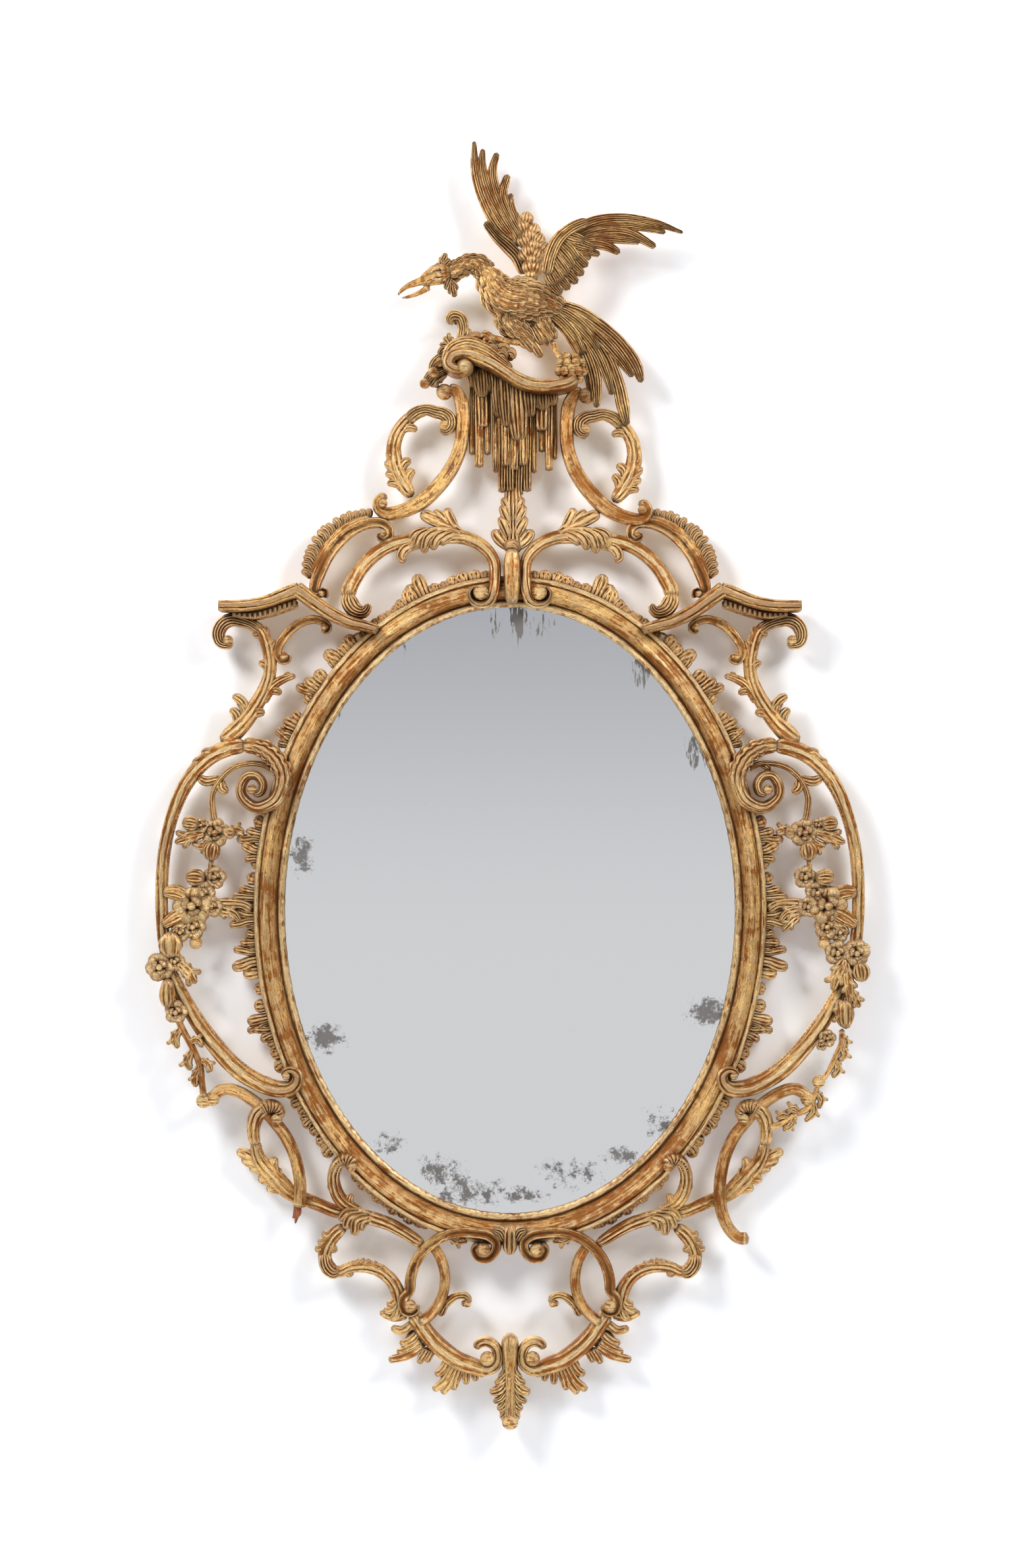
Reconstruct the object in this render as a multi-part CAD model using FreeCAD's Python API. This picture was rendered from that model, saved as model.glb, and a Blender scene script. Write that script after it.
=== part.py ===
"""Oval giltwood wall mirror with a carved bird on its crest, in millimetres.

The pieces are drawn on a sheet: x to the right, y up from the oval's centre and the third value
forward from the wall. Carved outlines are given in thousandths of the oval's outer half-axes, so
that the carving follows the oval, and half-widths in carver's units. Each finished piece is stood
up at the end: +Z up, front towards -Y, wall at Y 0, origin midway between the two hanging rings.
"""
import FreeCAD, Part
import math
import os

# Oval frame
SIGHT_HALF_WIDTH = 274.0
SIGHT_HALF_HEIGHT = 369.0
MOULDING_WIDTH = 38.0
LIP_WIDTH = 12.0
LIP_THICKNESS = 4.0
CROWN_HEIGHT = 13.0
OUTER_EDGE_DROP = 8.0

# Glass and back
FRAME_BACK = 7.0
PLATE_THICKNESS = 4.0
BLOCK_THICKNESS = 5.0
BLOCK_WIDTH = 9.0
BLOCK_HALF_ANGLE = 4.0
BOARD_THICKNESS = 8.0
BOARD_SPLIT = 95.0
BOARD_GAP = 0.5
PLATE_PLAY = 1.0
GLUE_LINE = 0.3

# Back fittings
BUTTON_LENGTH = 30.0
BUTTON_HALF_WIDTH = 4.5
BUTTON_THICKNESS = 2.0
BUTTON_PLAY = 0.2
BUTTON_INSET = 16.0
BUTTON_ANGLES = {"upper_right": 25.0, "upper_left": 155.0, "lower_left": 205.0, "lower_right": 335.0}
SCREW_RADIUS = 1.5
SCREW_LENGTH = 13.0
SCREW_HEAD_RADIUS = 3.2
SCREW_HEAD_HEIGHT = 1.2
RUNNING_PLAY = 0.08
HANGER_ANGLE = 52.0
STRAP_HALF_WIDTH = 6.0
STRAP_LENGTH = 25.0
STRAP_THICKNESS = 1.5
STRAP_SCREW_DROPS = (9.0, 20.0)
BARREL_WALL = 1.4
BARREL_HALF_LENGTH = 5.4
RING_WIRE_RADIUS = 1.5
RING_HALF_WIDTH = 10.0
RING_CORNER = 4.0
RING_LEG = 4.0
PAD_RADIUS = 9.0
PAD_ANGLES = (8.0, 172.0, 238.0, 302.0)

# Derived places
OUTER_HALF_WIDTH = SIGHT_HALF_WIDTH + MOULDING_WIDTH
OUTER_HALF_HEIGHT = SIGHT_HALF_HEIGHT + MOULDING_WIDTH
BLOCK_BACK = FRAME_BACK + BOARD_THICKNESS
PLATE_BACK = BLOCK_BACK + BLOCK_THICKNESS
LIP_BACK = PLATE_BACK + PLATE_THICKNESS
LIP_FRONT = LIP_BACK + LIP_THICKNESS
CROWN_FRONT = LIP_FRONT + CROWN_HEIGHT
RING_AXIS_DEPTH = FRAME_BACK / 2
BUTTON_FRONT = FRAME_BACK - BUTTON_PLAY
BUTTON_BACK = BUTTON_FRONT - BUTTON_THICKNESS

# Carving
CARVERS_UNIT = 1.0
FRONT = 38.0
FRONT_OVER_MOULDING = 52.0
CURL_OVER_MOULDING = CROWN_FRONT + 14.0
FRONT_LOW = 24.0
CARVING_BACK = FRAME_BACK + 1.0
LEAF_FRONT = 34.0
LOBE_FRONT = 28.0
LOBE_FRONT_LOW = 22.0
LOBE_FRONT_HIGH = 40.0
SPRIG_FRONT = 26.0
CROOK_FRONT = 50.0
CLASP_FRONT = 60.0
CLASP_LEAF_FRONT = 46.0
FOLIAGE_FRONT = 58.0
FOLIAGE_BACK = 22.0
SIDE_FOLIAGE_FRONT = 52.0
SIDE_FOLIAGE_BACK = 20.0
PENDANT_FRONT = 44.0
NEAR_WING_BACK = 46.0
FAR_WING_BACK = 32.0
TAIL_BACK = 38.0
ROD_BACK = 21.0
ROD_FRONT = 41.0
FRILL_BACK = 14.0
FRILL_FRONT = 26.0
FRILL_VALLEY = 0.6
FRILL_SHOULDER = 0.86
EAVE_FRONT = 66.0
EAVE_SOFFIT_FRONT = 42.0
LEDGE_FRONT = 78.0
ROCKWORK_FRONT = 36.0
GARLAND_BACK = 16.0
GARLAND_FRONT = 44.0
VINE_FRONT = 40.0
DROP_BACK = FRONT + 2 * GLUE_LINE
DROP_FRONT = 52.0
BIRD_DEPTH = 48.0
WING_THICKNESS = 9.0
FULL_WIDTH = 8.0
LOBE_ROOT = 6.5
LOBE_TIP = 2.6
BACK_STEP = 0.6
BACK_STEPS = 5
LEAN_SLOPE = 0.0253
LEAN_START = 0.9


def vec(x, y, front=0.0):
    """Return a point of the sheet: right, up and forward from the wall."""
    return FreeCAD.Vector(x, y, front)


def spot(u, w, front=0.0):
    """Return the sheet point of a place in thousandths of the oval's outer half-axes."""
    return vec(u / 1000 * OUTER_HALF_WIDTH, w / 1000 * OUTER_HALF_HEIGHT, front)


def on_oval(offset, degrees, front=0.0):
    """Return the point at an angle on the oval that lies an offset outside the sight edge."""
    turn = math.radians(degrees)
    return vec(
        (SIGHT_HALF_WIDTH + offset) * math.cos(turn),
        (SIGHT_HALF_HEIGHT + offset) * math.sin(turn),
        front,
    )


def oval_edge(offset, front, start=0.0, end=360.0):
    """Return the oval's line, or an arc of it, at an offset from the sight edge."""
    circle = Part.makeCircle(1.0, vec(0, 0), vec(0, 0, 1), start, end)
    stretch = FreeCAD.Matrix()
    stretch.scale(SIGHT_HALF_WIDTH + offset, SIGHT_HALF_HEIGHT + offset, 1.0)
    return circle.transformGeometry(stretch).translated(vec(0, 0, front))


def polygon(points):
    """Return a closed wire of straight edges."""
    return Part.makePolygon(list(points) + [points[0]])


def spline(points, parameters=None):
    """Return a smooth edge through points."""
    curve = Part.BSplineCurve()
    if parameters:
        curve.interpolate(Points=points, Parameters=parameters)
    else:
        curve.interpolate(Points=points)
    return curve


def upright_cylinder(centre, radius, back, front):
    """Return a cylinder that stands forward from the sheet."""
    return Part.makeCylinder(radius, front - back, vec(centre.x, centre.y, back), vec(0, 0, 1))


class Band:
    """A carved band along a smooth line: flat back, straight sides and a rounded crown.

    Each point is (u, w, half width) or (u, w, half width, front).
    """

    def __init__(self, points, front=FRONT, back=FRAME_BACK):
        self.points = [point if len(point) == 4 else (*point, front) for point in points]
        self.back = back

    def solid(self, grow=0.0):
        """Return the band, or the pocket that a neighbour is cut back by."""
        places = [spot(u, w) for u, w, _, _ in self.points]
        lengths = [0.0]
        for first, second in zip(places, places[1:]):
            lengths.append(lengths[-1] + math.sqrt(first.distanceToPoint(second)))
        line = spline(places, lengths)
        sections = [
            self.section(line.value(at), line.tangent(at)[0], point[2] * CARVERS_UNIT, point[3], grow)
            for at, point in zip(lengths, self.points)
        ]
        return Part.makeLoft(sections, True, False)

    def section(self, centre, along, half, front, grow):
        """Return the closed outline across the band at one of its points."""
        height = (front - self.back) * min(1.0, 0.5 + 0.5 * half / FULL_WIDTH)
        across = vec(-along.y, along.x)
        back = self.back - grow
        top = self.back + height + grow
        half += grow
        shoulder = top - min(0.9 * half, 0.6 * (top - back))
        crown = []
        for degrees in (0, 45, 90, 135, 180):
            turn = math.radians(degrees)
            rise = shoulder + (top - shoulder) * math.sin(turn)
            crown.append(centre + across * (half * math.cos(turn)) + vec(0, 0, rise))
        left = centre + across * half + vec(0, 0, back)
        right = centre - across * half + vec(0, 0, back)
        return Part.Wire(
            [
                Part.makeLine(left, crown[0]),
                spline(crown, [0.0, 0.25, 0.5, 0.75, 1.0]).toShape(),
                Part.makeLine(crown[-1], right),
                Part.makeLine(right, left),
            ]
        )


class Boss:
    """A round-topped knob, such as the eye of a scroll, a bud or a bloom."""

    def __init__(self, u, w, radius, front=FRONT, back=FRAME_BACK):
        self.place = (u, w)
        self.radius = radius
        self.front = front
        self.back = back

    def solid(self, grow=0.0):
        """Return the knob, or the pocket that a neighbour is cut back by."""
        centre = spot(*self.place)
        radius = self.radius * CARVERS_UNIT + grow
        top = self.front + grow
        bottom = self.back - grow
        shoulder = top - min(radius, 0.6 * (top - bottom))
        rim = vec(radius, 0, shoulder)
        middle = vec(radius * math.cos(math.pi / 4), 0, shoulder + (top - shoulder) * math.sin(math.pi / 4))
        outline = Part.Wire(
            [
                Part.makeLine(vec(0, 0, bottom), vec(radius, 0, bottom)),
                Part.makeLine(vec(radius, 0, bottom), rim),
                spline([rim, middle, vec(0, 0, top)]).toShape(),
                Part.makeLine(vec(0, 0, top), vec(0, 0, bottom)),
            ]
        )
        knob = Part.Face(outline).revolve(vec(0, 0), vec(0, 0, 1), 360)
        return knob.translated(centre)


class Plate:
    """A flat carved piece cut to an outline, a list of runs: two points straight, more a curve."""

    def __init__(self, runs, back, front):
        self.runs = runs
        self.back = back
        self.front = front

    def solid(self, grow=0.0):
        """Return the plate, or the pocket that a neighbour is cut back by."""
        edges = []
        for run in self.runs:
            points = [spot(u, w, self.back - grow) for u, w in run]
            edge = Part.makeLine(*points) if len(points) == 2 else spline(points).toShape()
            edges.append(edge)
        face = Part.Face(Part.Wire(edges))
        if grow:
            face = face.makeOffset2D(grow)
        return face.extrude(vec(0, 0, self.front - self.back + 2 * grow))


class Limb:
    """A rounded limb or body along a smooth line. Each point is (u, w, radius, depth)."""

    SIDES = 8

    def __init__(self, points, flatness=1.0):
        self.points = points
        self.flatness = flatness
        self.back = FRAME_BACK

    def solid(self, grow=0.0):
        """Return the limb, or the pocket that a neighbour is cut back by."""
        places = [spot(u, w, depth) for u, w, _, depth in self.points]
        lengths = [0.0]
        for first, second in zip(places, places[1:]):
            lengths.append(lengths[-1] + math.sqrt(first.distanceToPoint(second)))
        line = spline(places, lengths)
        sections = [
            self.section(line.value(at), line.tangent(at)[0], point[2] * CARVERS_UNIT + grow)
            for at, point in zip(lengths, self.points)
        ]
        return Part.makeLoft(sections, True, False)

    def section(self, centre, along, radius):
        """Return the rounded outline across the limb at one of its points."""
        across = vec(-along.y, along.x).normalize()
        forward = along.cross(across)
        ring = []
        for side in range(self.SIDES):
            turn = 2 * math.pi * side / self.SIDES
            ring.append(
                centre
                + across * (radius * math.cos(turn))
                + forward * (radius * self.flatness * math.sin(turn))
            )
        curve = Part.BSplineCurve()
        curve.interpolate(Points=ring, PeriodicFlag=True)
        return Part.Wire(curve.toShape())


def lobes(front, *pairs):
    """Return the leaf lobes of a carving, each from a root on its stem to its tip."""
    return [
        Band([(u0, w0, LOBE_ROOT), (u1, w1, LOBE_TIP)], front, CARVING_BACK)
        for u0, w0, u1, w1 in pairs
    ]


class Carving:
    """A carved piece made of members glued or cut as one."""

    def __init__(self, *members):
        self.members = list(members)
        for index, member in enumerate(self.members):
            member.back += BACK_STEP * (index % BACK_STEPS)

    def solid(self, pockets=()):
        """Return the members as one solid, cut back by its neighbours' pockets."""
        shapes = [member.solid() for member in self.members]
        whole = shapes[0].multiFuse(shapes[1:]) if len(shapes) > 1 else shapes[0]
        return seated(whole, pockets)

    def pockets(self):
        """Return the slightly larger shapes that a neighbour is cut back by."""
        return [member.solid(GLUE_LINE) for member in self.members]


def seated(shape, pockets):
    """Return a shape cut back by its neighbours' pockets, without the offcuts."""
    for pocket in pockets:
        if pocket.BoundBox.intersect(shape.BoundBox):
            shape = max(shape.cut(pocket).Solids, key=lambda solid: solid.Volume)
    return shape


def mirrored(shape):
    """Return the left-hand copy of a right-hand shape."""
    return shape.mirror(vec(0, 0), vec(1, 0))


def mirrored_on_crest(shape):
    """Return the left-hand copy about the crest's own axis, which leans a little to the right."""
    return shape.mirror(vec(0, LEAN_START * OUTER_HALF_HEIGHT), vec(1, -LEAN_SLOPE))


# Oval frame

def moulding_profile():
    """Return the moulding's outline as (offset from the sight edge, front), from the lip round."""
    bead = LIP_FRONT + 2.5
    rise = CROWN_FRONT - LIP_FRONT
    fillet = CROWN_FRONT - 0.38 * rise
    return [
        (0.0, LIP_BACK),
        (0.0, LIP_FRONT),
        (0.06 * MOULDING_WIDTH, bead),
        (0.16 * MOULDING_WIDTH, bead + 0.8),
        (0.24 * MOULDING_WIDTH, LIP_FRONT + 0.5),
        (0.28 * MOULDING_WIDTH, LIP_FRONT + 0.28 * rise),
        (0.38 * MOULDING_WIDTH, LIP_FRONT + 0.72 * rise),
        (0.52 * MOULDING_WIDTH, CROWN_FRONT),
        (0.66 * MOULDING_WIDTH, CROWN_FRONT),
        (0.78 * MOULDING_WIDTH, LIP_FRONT + 0.78 * rise),
        (0.82 * MOULDING_WIDTH, fillet - 1.0),
        (0.86 * MOULDING_WIDTH, fillet + 1.2),
        (0.95 * MOULDING_WIDTH, fillet + 0.8),
        (MOULDING_WIDTH, CROWN_FRONT - OUTER_EDGE_DROP),
        (MOULDING_WIDTH, FRAME_BACK),
        (LIP_WIDTH, FRAME_BACK),
        (LIP_WIDTH, LIP_BACK),
    ]


def oval_sweep(profile, start, end):
    """Return a profile carried round the oval between two angles."""
    step = 7.5
    count = round((end - start) / step)
    sections = []
    for index in range(count + 1):
        degrees = start + (end - start) * index / count
        sections.append(polygon([on_oval(offset, degrees, front) for offset, front in profile]))
    return Part.makeLoft(sections, True, False)


SEGMENTS = {"right": (-45.0, 45.0), "top": (45.0, 135.0), "left": (135.0, 225.0), "bottom": (225.0, 315.0)}


def moulding_pockets():
    """Return the oval moulding a glue line larger, which carving in front of it is cut back by."""
    front = [(offset, rise + GLUE_LINE) for offset, rise in moulding_profile()[1:14]]
    front[-1] = (MOULDING_WIDTH + GLUE_LINE, front[-1][1])
    outline = [(-GLUE_LINE, 0.0), (-GLUE_LINE, front[0][1])] + front + [(MOULDING_WIDTH + GLUE_LINE, 0.0)]
    return {name: oval_sweep(outline, *angles) for name, angles in SEGMENTS.items()}


def mirror_plate():
    """Return the oval glass, seated on the lip from behind."""
    face = Part.Face(Part.Wire(oval_edge(LIP_WIDTH - PLATE_PLAY, PLATE_BACK)))
    return face.extrude(vec(0, 0, PLATE_THICKNESS))


def plate_blocks():
    """Return the softwood blocks between glass and backboard."""
    outer = LIP_WIDTH - GLUE_LINE
    blocks = []
    for index in range(8):
        middle = 22.5 + 45.0 * index
        start, end = middle - BLOCK_HALF_ANGLE, middle + BLOCK_HALF_ANGLE
        rim = oval_edge(outer, BLOCK_BACK, start, end)
        inner = oval_edge(outer - BLOCK_WIDTH, BLOCK_BACK, start, end)
        sides = [
            Part.makeLine(on_oval(outer, angle, BLOCK_BACK), on_oval(outer - BLOCK_WIDTH, angle, BLOCK_BACK))
            for angle in (start, end)
        ]
        outline = Part.Wire(Part.__sortEdges__([rim, inner, *sides]))
        blocks.append(Part.Face(outline).extrude(vec(0, 0, BLOCK_THICKNESS)))
    return Part.makeCompound(blocks)


def backboards():
    """Return the three boards behind the glass by name."""
    face = Part.Face(Part.Wire(oval_edge(LIP_WIDTH - PLATE_PLAY, FRAME_BACK)))
    oval = face.extrude(vec(0, 0, BOARD_THICKNESS))
    reach = OUTER_HALF_WIDTH
    spans = {
        "left": (-reach, -BOARD_SPLIT - BOARD_GAP / 2),
        "centre": (-BOARD_SPLIT + BOARD_GAP / 2, BOARD_SPLIT - BOARD_GAP / 2),
        "right": (BOARD_SPLIT + BOARD_GAP / 2, reach),
    }
    boards = {}
    for name, (start, end) in spans.items():
        box = Part.makeBox(
            end - start, 2 * OUTER_HALF_HEIGHT, BOARD_THICKNESS, vec(start, -OUTER_HALF_HEIGHT, FRAME_BACK)
        )
        boards[name] = oval.common(box)
    return boards


# Back fittings

def screw(centre, head_front, length=SCREW_LENGTH):
    """Return a round-headed wood screw driven forward from behind, its head resting at head_front."""
    head_back = head_front - SCREW_HEAD_HEIGHT
    head = upright_cylinder(centre, SCREW_HEAD_RADIUS, head_back, head_front)
    rim = [edge for edge in head.Edges if edge.BoundBox.ZMax < head_front - 1e-6]
    head = head.makeChamfer(0.4 * SCREW_HEAD_HEIGHT, rim)
    shank = upright_cylinder(centre, SCREW_RADIUS, head_front, head_front + length)
    return head.fuse(shank)


def pilot(centre, front, length):
    """Return the hole that a screw's shank stands in."""
    return upright_cylinder(centre, SCREW_RADIUS + RUNNING_PLAY, front, front + length + RUNNING_PLAY)


def button_pivot(degrees):
    """Return the centre of a turn button's screw on the back of the moulding."""
    return on_oval(LIP_WIDTH + BUTTON_INSET - BUTTON_HALF_WIDTH, degrees)


def turn_button(degrees):
    """Return one turn button, closed: it points inwards over the backboard."""
    reach = BUTTON_LENGTH - 2 * BUTTON_HALF_WIDTH
    half = BUTTON_HALF_WIDTH
    outline = Part.Wire(
        [
            Part.makeLine(vec(0, -half), vec(-reach, -half)),
            Part.Arc(vec(-reach, -half), vec(-reach - half, 0), vec(-reach, half)).toShape(),
            Part.makeLine(vec(-reach, half), vec(0, half)),
            Part.Arc(vec(0, half), vec(half, 0), vec(0, -half)).toShape(),
        ]
    )
    body = Part.Face(outline).extrude(vec(0, 0, BUTTON_THICKNESS))
    bore = Part.makeCylinder(SCREW_RADIUS + RUNNING_PLAY, BUTTON_THICKNESS)
    inwards = on_oval(MOULDING_WIDTH, degrees) - on_oval(0, degrees)
    body = body.cut(bore).rotated(vec(0, 0), vec(0, 0, 1), math.degrees(math.atan2(inwards.y, inwards.x)))
    pivot = button_pivot(degrees)
    return body.translated(vec(pivot.x, pivot.y, BUTTON_BACK))


def hanger_place():
    """Return the middle of the right hanging ring's straight bar."""
    middle = on_oval((LIP_WIDTH + MOULDING_WIDTH) / 2, HANGER_ANGLE)
    return vec(middle.x, middle.y + STRAP_LENGTH / 2 - 2.0, RING_AXIS_DEPTH)


def hanger_strap():
    """Return the right strap: a plate with a barrel that the ring's bar turns in."""
    bar = hanger_place()
    plate = Part.makeBox(
        2 * STRAP_HALF_WIDTH,
        STRAP_LENGTH,
        STRAP_THICKNESS,
        vec(bar.x - STRAP_HALF_WIDTH, bar.y - STRAP_LENGTH, FRAME_BACK - STRAP_THICKNESS),
    )
    bore = RING_WIRE_RADIUS + RUNNING_PLAY
    start = vec(bar.x - BARREL_HALF_LENGTH, bar.y, bar.z)
    barrel = Part.makeCylinder(bore + BARREL_WALL, 2 * BARREL_HALF_LENGTH, start, vec(1, 0, 0))
    hole = Part.makeCylinder(bore, 4 * STRAP_HALF_WIDTH, start - vec(STRAP_HALF_WIDTH, 0), vec(1, 0, 0))
    strap = plate.fuse(barrel).cut(hole)
    return strap.cut([pilot(centre, 0.0, FRAME_BACK) for centre in strap_screw_places()])


def strap_screw_places():
    """Return where the right strap's screws stand."""
    bar = hanger_place()
    return [vec(bar.x, bar.y - drop) for drop in STRAP_SCREW_DROPS]


def hanger_ring():
    """Return the right hanging ring, standing up as when it hangs on its hook."""
    half = RING_HALF_WIDTH
    corner = RING_CORNER
    slant = corner * (1 - math.sqrt(0.5))
    leg_top = corner + RING_LEG
    path = Part.Wire(
        [
            Part.makeLine(vec(corner - half, 0), vec(half - corner, 0)),
            Part.Arc(vec(half - corner, 0), vec(half - slant, slant), vec(half, corner)).toShape(),
            Part.makeLine(vec(half, corner), vec(half, leg_top)),
            Part.Arc(vec(half, leg_top), vec(0, leg_top + half), vec(-half, leg_top)).toShape(),
            Part.makeLine(vec(-half, leg_top), vec(-half, corner)),
            Part.Arc(vec(-half, corner), vec(slant - half, slant), vec(corner - half, 0)).toShape(),
        ]
    )
    wire = Part.Wire(Part.makeCircle(RING_WIRE_RADIUS, vec(corner - half, 0), vec(1, 0)))
    return path.makePipeShell([wire], True, False).translated(hanger_place())


def hang_height():
    """Return how far above the oval's centre the rings bear on their hooks."""
    return hanger_place().y + RING_CORNER + RING_LEG + RING_HALF_WIDTH - RING_WIRE_RADIUS


# Rocaille frill round the oval, as (angle, length) of each lobe, cluster by cluster
FRILL = (
    ((82, 6), (79, 12), (76, 7)),
    ((72.9, 11), (70.5, 27), (68.8, 22), (67.2, 19), (65.3, 12), (63.5, 7)),
    ((52.3, 15), (49.5, 22), (47.1, 14)),
    ((43.6, 15), (42, 21), (40.4, 26), (38.6, 12)),
    ((34.9, 13), (33.3, 19), (31.6, 22), (30.2, 14)),
    ((15.2, 13), (13.6, 20), (12.3, 29), (10.4, 22), (8.9, 15), (7.2, 9), (5.4, 12)),
    ((3.6, 18), (2.4, 27), (1, 39), (-0.6, 36), (-2, 24)),
    ((-4.1, 13), (-5.7, 20), (-7.2, 28), (-8.7, 32), (-10.6, 20), (-13, 10)),
    ((-16.5, 14), (-18.4, 25), (-19.7, 29), (-21, 21), (-22.6, 14), (-25, 11), (-27.5, 12)),
    ((-32.9, 13), (-35.2, 13), (-38.1, 12), (-40.6, 12), (-43.2, 12), (-45.4, 13)),
    ((-53, 5), (-55.6, 5), (-58.2, 5), (-60.8, 5), (-63.4, 5), (-66, 5), (-68.6, 4)),
)


def frill_cluster(lobe_list, grow=0.0):
    """Return one scalloped cluster that springs from the moulding's outer edge, or its pocket."""
    root = MOULDING_WIDTH + GLUE_LINE
    back = FRILL_BACK - grow
    first, last = lobe_list[0][0], lobe_list[-1][0]
    ends = [1.5 * first - 0.5 * lobe_list[1][0], 1.5 * last - 0.5 * lobe_list[-2][0]]
    valleys = [on_oval(root, ends[0], back)]
    for (angle, length), (next_angle, next_length) in zip(lobe_list, lobe_list[1:]):
        depth = root + FRILL_VALLEY * min(length, next_length) + grow
        valleys.append(on_oval(depth, (angle + next_angle) / 2, back))
    valleys.append(on_oval(root, ends[1], back))
    bounds = [ends[0]] + [(one[0] + two[0]) / 2 for one, two in zip(lobe_list, lobe_list[1:])] + [ends[1]]
    edges = []
    for index, (angle, length) in enumerate(lobe_list):
        shoulder = root + FRILL_SHOULDER * length + grow
        start = on_oval(shoulder, (angle + bounds[index]) / 2, back)
        end = on_oval(shoulder, (angle + bounds[index + 1]) / 2, back)
        edges.append(Part.makeLine(valleys[index], start))
        edges.append(Part.Arc(start, on_oval(root + length + grow, angle, back), end).toShape())
        edges.append(Part.makeLine(end, valleys[index + 1]))
    edges.append(oval_edge(root, back, ends[1], ends[0]))
    outline = Part.Wire(Part.__sortEdges__(edges))
    return Part.Face(outline).extrude(vec(0, 0, FRILL_FRONT - FRILL_BACK + 2 * grow))


# Right-hand carving

ARCH_SCROLL = Carving(
    Band(
        [
            (98, 932, 5, FRONT_OVER_MOULDING), (74, 944, 6.5, FRONT_OVER_MOULDING),
            (61, 970, 8, FRONT_OVER_MOULDING), (58, 1005, 8.5, FRONT_OVER_MOULDING), (70, 1050, 8.5, 46),
            (108, 1089, 8.5), (165, 1112, 10), (228, 1118, 11.5), (290, 1112, 11.5), (350, 1107, 10),
            (410, 1104, 8.5), (468, 1092, 8.5), (523, 1067, 8.5), (571, 1031, 8.5), (606, 992, 9),
            (626, 955, 9.5, 46), (620, 920, 9.5, FRONT_OVER_MOULDING), (594, 896, 8, FRONT_OVER_MOULDING),
            (564, 893, 6, FRONT_OVER_MOULDING),
        ],
    ),
    Boss(114, 945, 10, 56),
    Band([(200, 1125, 6), (250, 1147, 7.5), (300, 1165, 9), (340, 1183, 7),
        (354, 1190, 4)], LEAF_FRONT, CARVING_BACK),
    *lobes(LEAF_FRONT, (256, 1150, 246, 1204), (380, 1095, 416, 1057)),
)

CREST_SCROLL = Carving(
    Band(
        [
            (285, 1556, 5), (255, 1545, 7), (231, 1512, 8.5), (222, 1470, 8.5), (221, 1425, 8.5),
            (226, 1378, 8.5), (246, 1329, 9), (280, 1282, 9.3), (320, 1243, 9.5), (362, 1211, 9.5),
            (408, 1188, 9), (455, 1176, 8.5), (497, 1177, 7), (522, 1192, 6),
        ],
    ),
    Boss(296, 1539, 10, 37),
    Boss(510, 1208, 8.8, 44),
)

CREST_LOOP = Carving(
    Band(
        [
            (303, 1435, 4), (285, 1428, 6), (272, 1441, 8), (278, 1462, 8.5), (302, 1475, 8),
            (330, 1479, 7.5), (362, 1483, 7), (400, 1474, 7.5), (440, 1448, 8), (472, 1412, 8.5),
            (485, 1370, 9), (479, 1325, 10), (458, 1282, 11), (428, 1246, 9), (402, 1222, 6),
        ],
        LEAF_FRONT,
    ),
    *lobes(
        LOBE_FRONT, (480, 1350, 514, 1359), (472, 1310, 518, 1318), (450, 1272, 508, 1281),
        (462, 1310, 412, 1330), (432, 1426, 396, 1420),
    ),
)

SHOULDER_SCROLL = Carving(
    Band(
        [
            (482, 1135, 4), (492, 1153, 5.5), (525, 1160, 6.5), (572, 1153, 7), (625, 1133, 7.5),
            (672, 1101, 8), (712, 1060, 8), (740, 1016, 8), (757, 978, 7.5), (752, 948, 6),
        ],
    ),
    Boss(490, 1126, 5.5, 42),
    Boss(732, 946, 6.8, 42),
    *lobes(
        SPRIG_FRONT, (535, 1160, 556, 1202), (585, 1150, 611, 1196), (635, 1130, 663, 1184), (678, 1100, 722, 1155),
        (705, 1070, 756, 1134), (730, 1035, 794, 1088), (742, 1012, 810, 1056), (752, 988, 818, 1014),
    ),
)

EAVE_BRACKET = Carving(
    Band(
        [
            (724, 850, 3.5), (738, 861, 3.8), (765, 869, 4.5), (800, 870, 4.8), (835, 857, 4.8),
            (868, 834, 4.8),
            (891, 805, 4.8), (898, 778, 4.5), (890, 758, 4), (880, 752, 3.5),
        ],
        LEAF_FRONT,
    ),
    Boss(722, 846, 6, 38),
    Boss(878, 752, 6, 38),
)

LEAF_STEM = Carving(
    Band(
        [
            (1083, 812, 4), (1100, 796, 6), (1128, 802, 7), (1136, 828, 8), (1120, 855, 8.5),
            (1086, 869, 8.5), (1045, 865, 7.5), (1005, 854, 7), (973, 836, 6.5), (953, 808, 6.5),
            (940, 770, 6.5), (935, 735, 6.5), (940, 698, 7), (957, 662, 8), (980, 628, 9), (1010, 592, 10),
            (1047, 556, 11), (1088, 525, 11), (1130, 502, 9),
        ],
        LEAF_FRONT,
    ),
    Band([(835, 703, 3.5), (878, 694, 5), (916, 678, 6), (952, 645, 7), (975, 618, 6)], SPRIG_FRONT, CARVING_BACK),
    *lobes(
        LOBE_FRONT, (985, 838, 950, 850), (952, 800, 914, 811), (1000, 850, 1006, 824), (942, 760, 981, 745),
        (1000, 600, 1081, 645), (1035, 570, 1090, 605), (990, 610, 955, 590), (905, 680, 891, 647),
        (945, 650, 934, 633),
    ),
)

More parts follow.
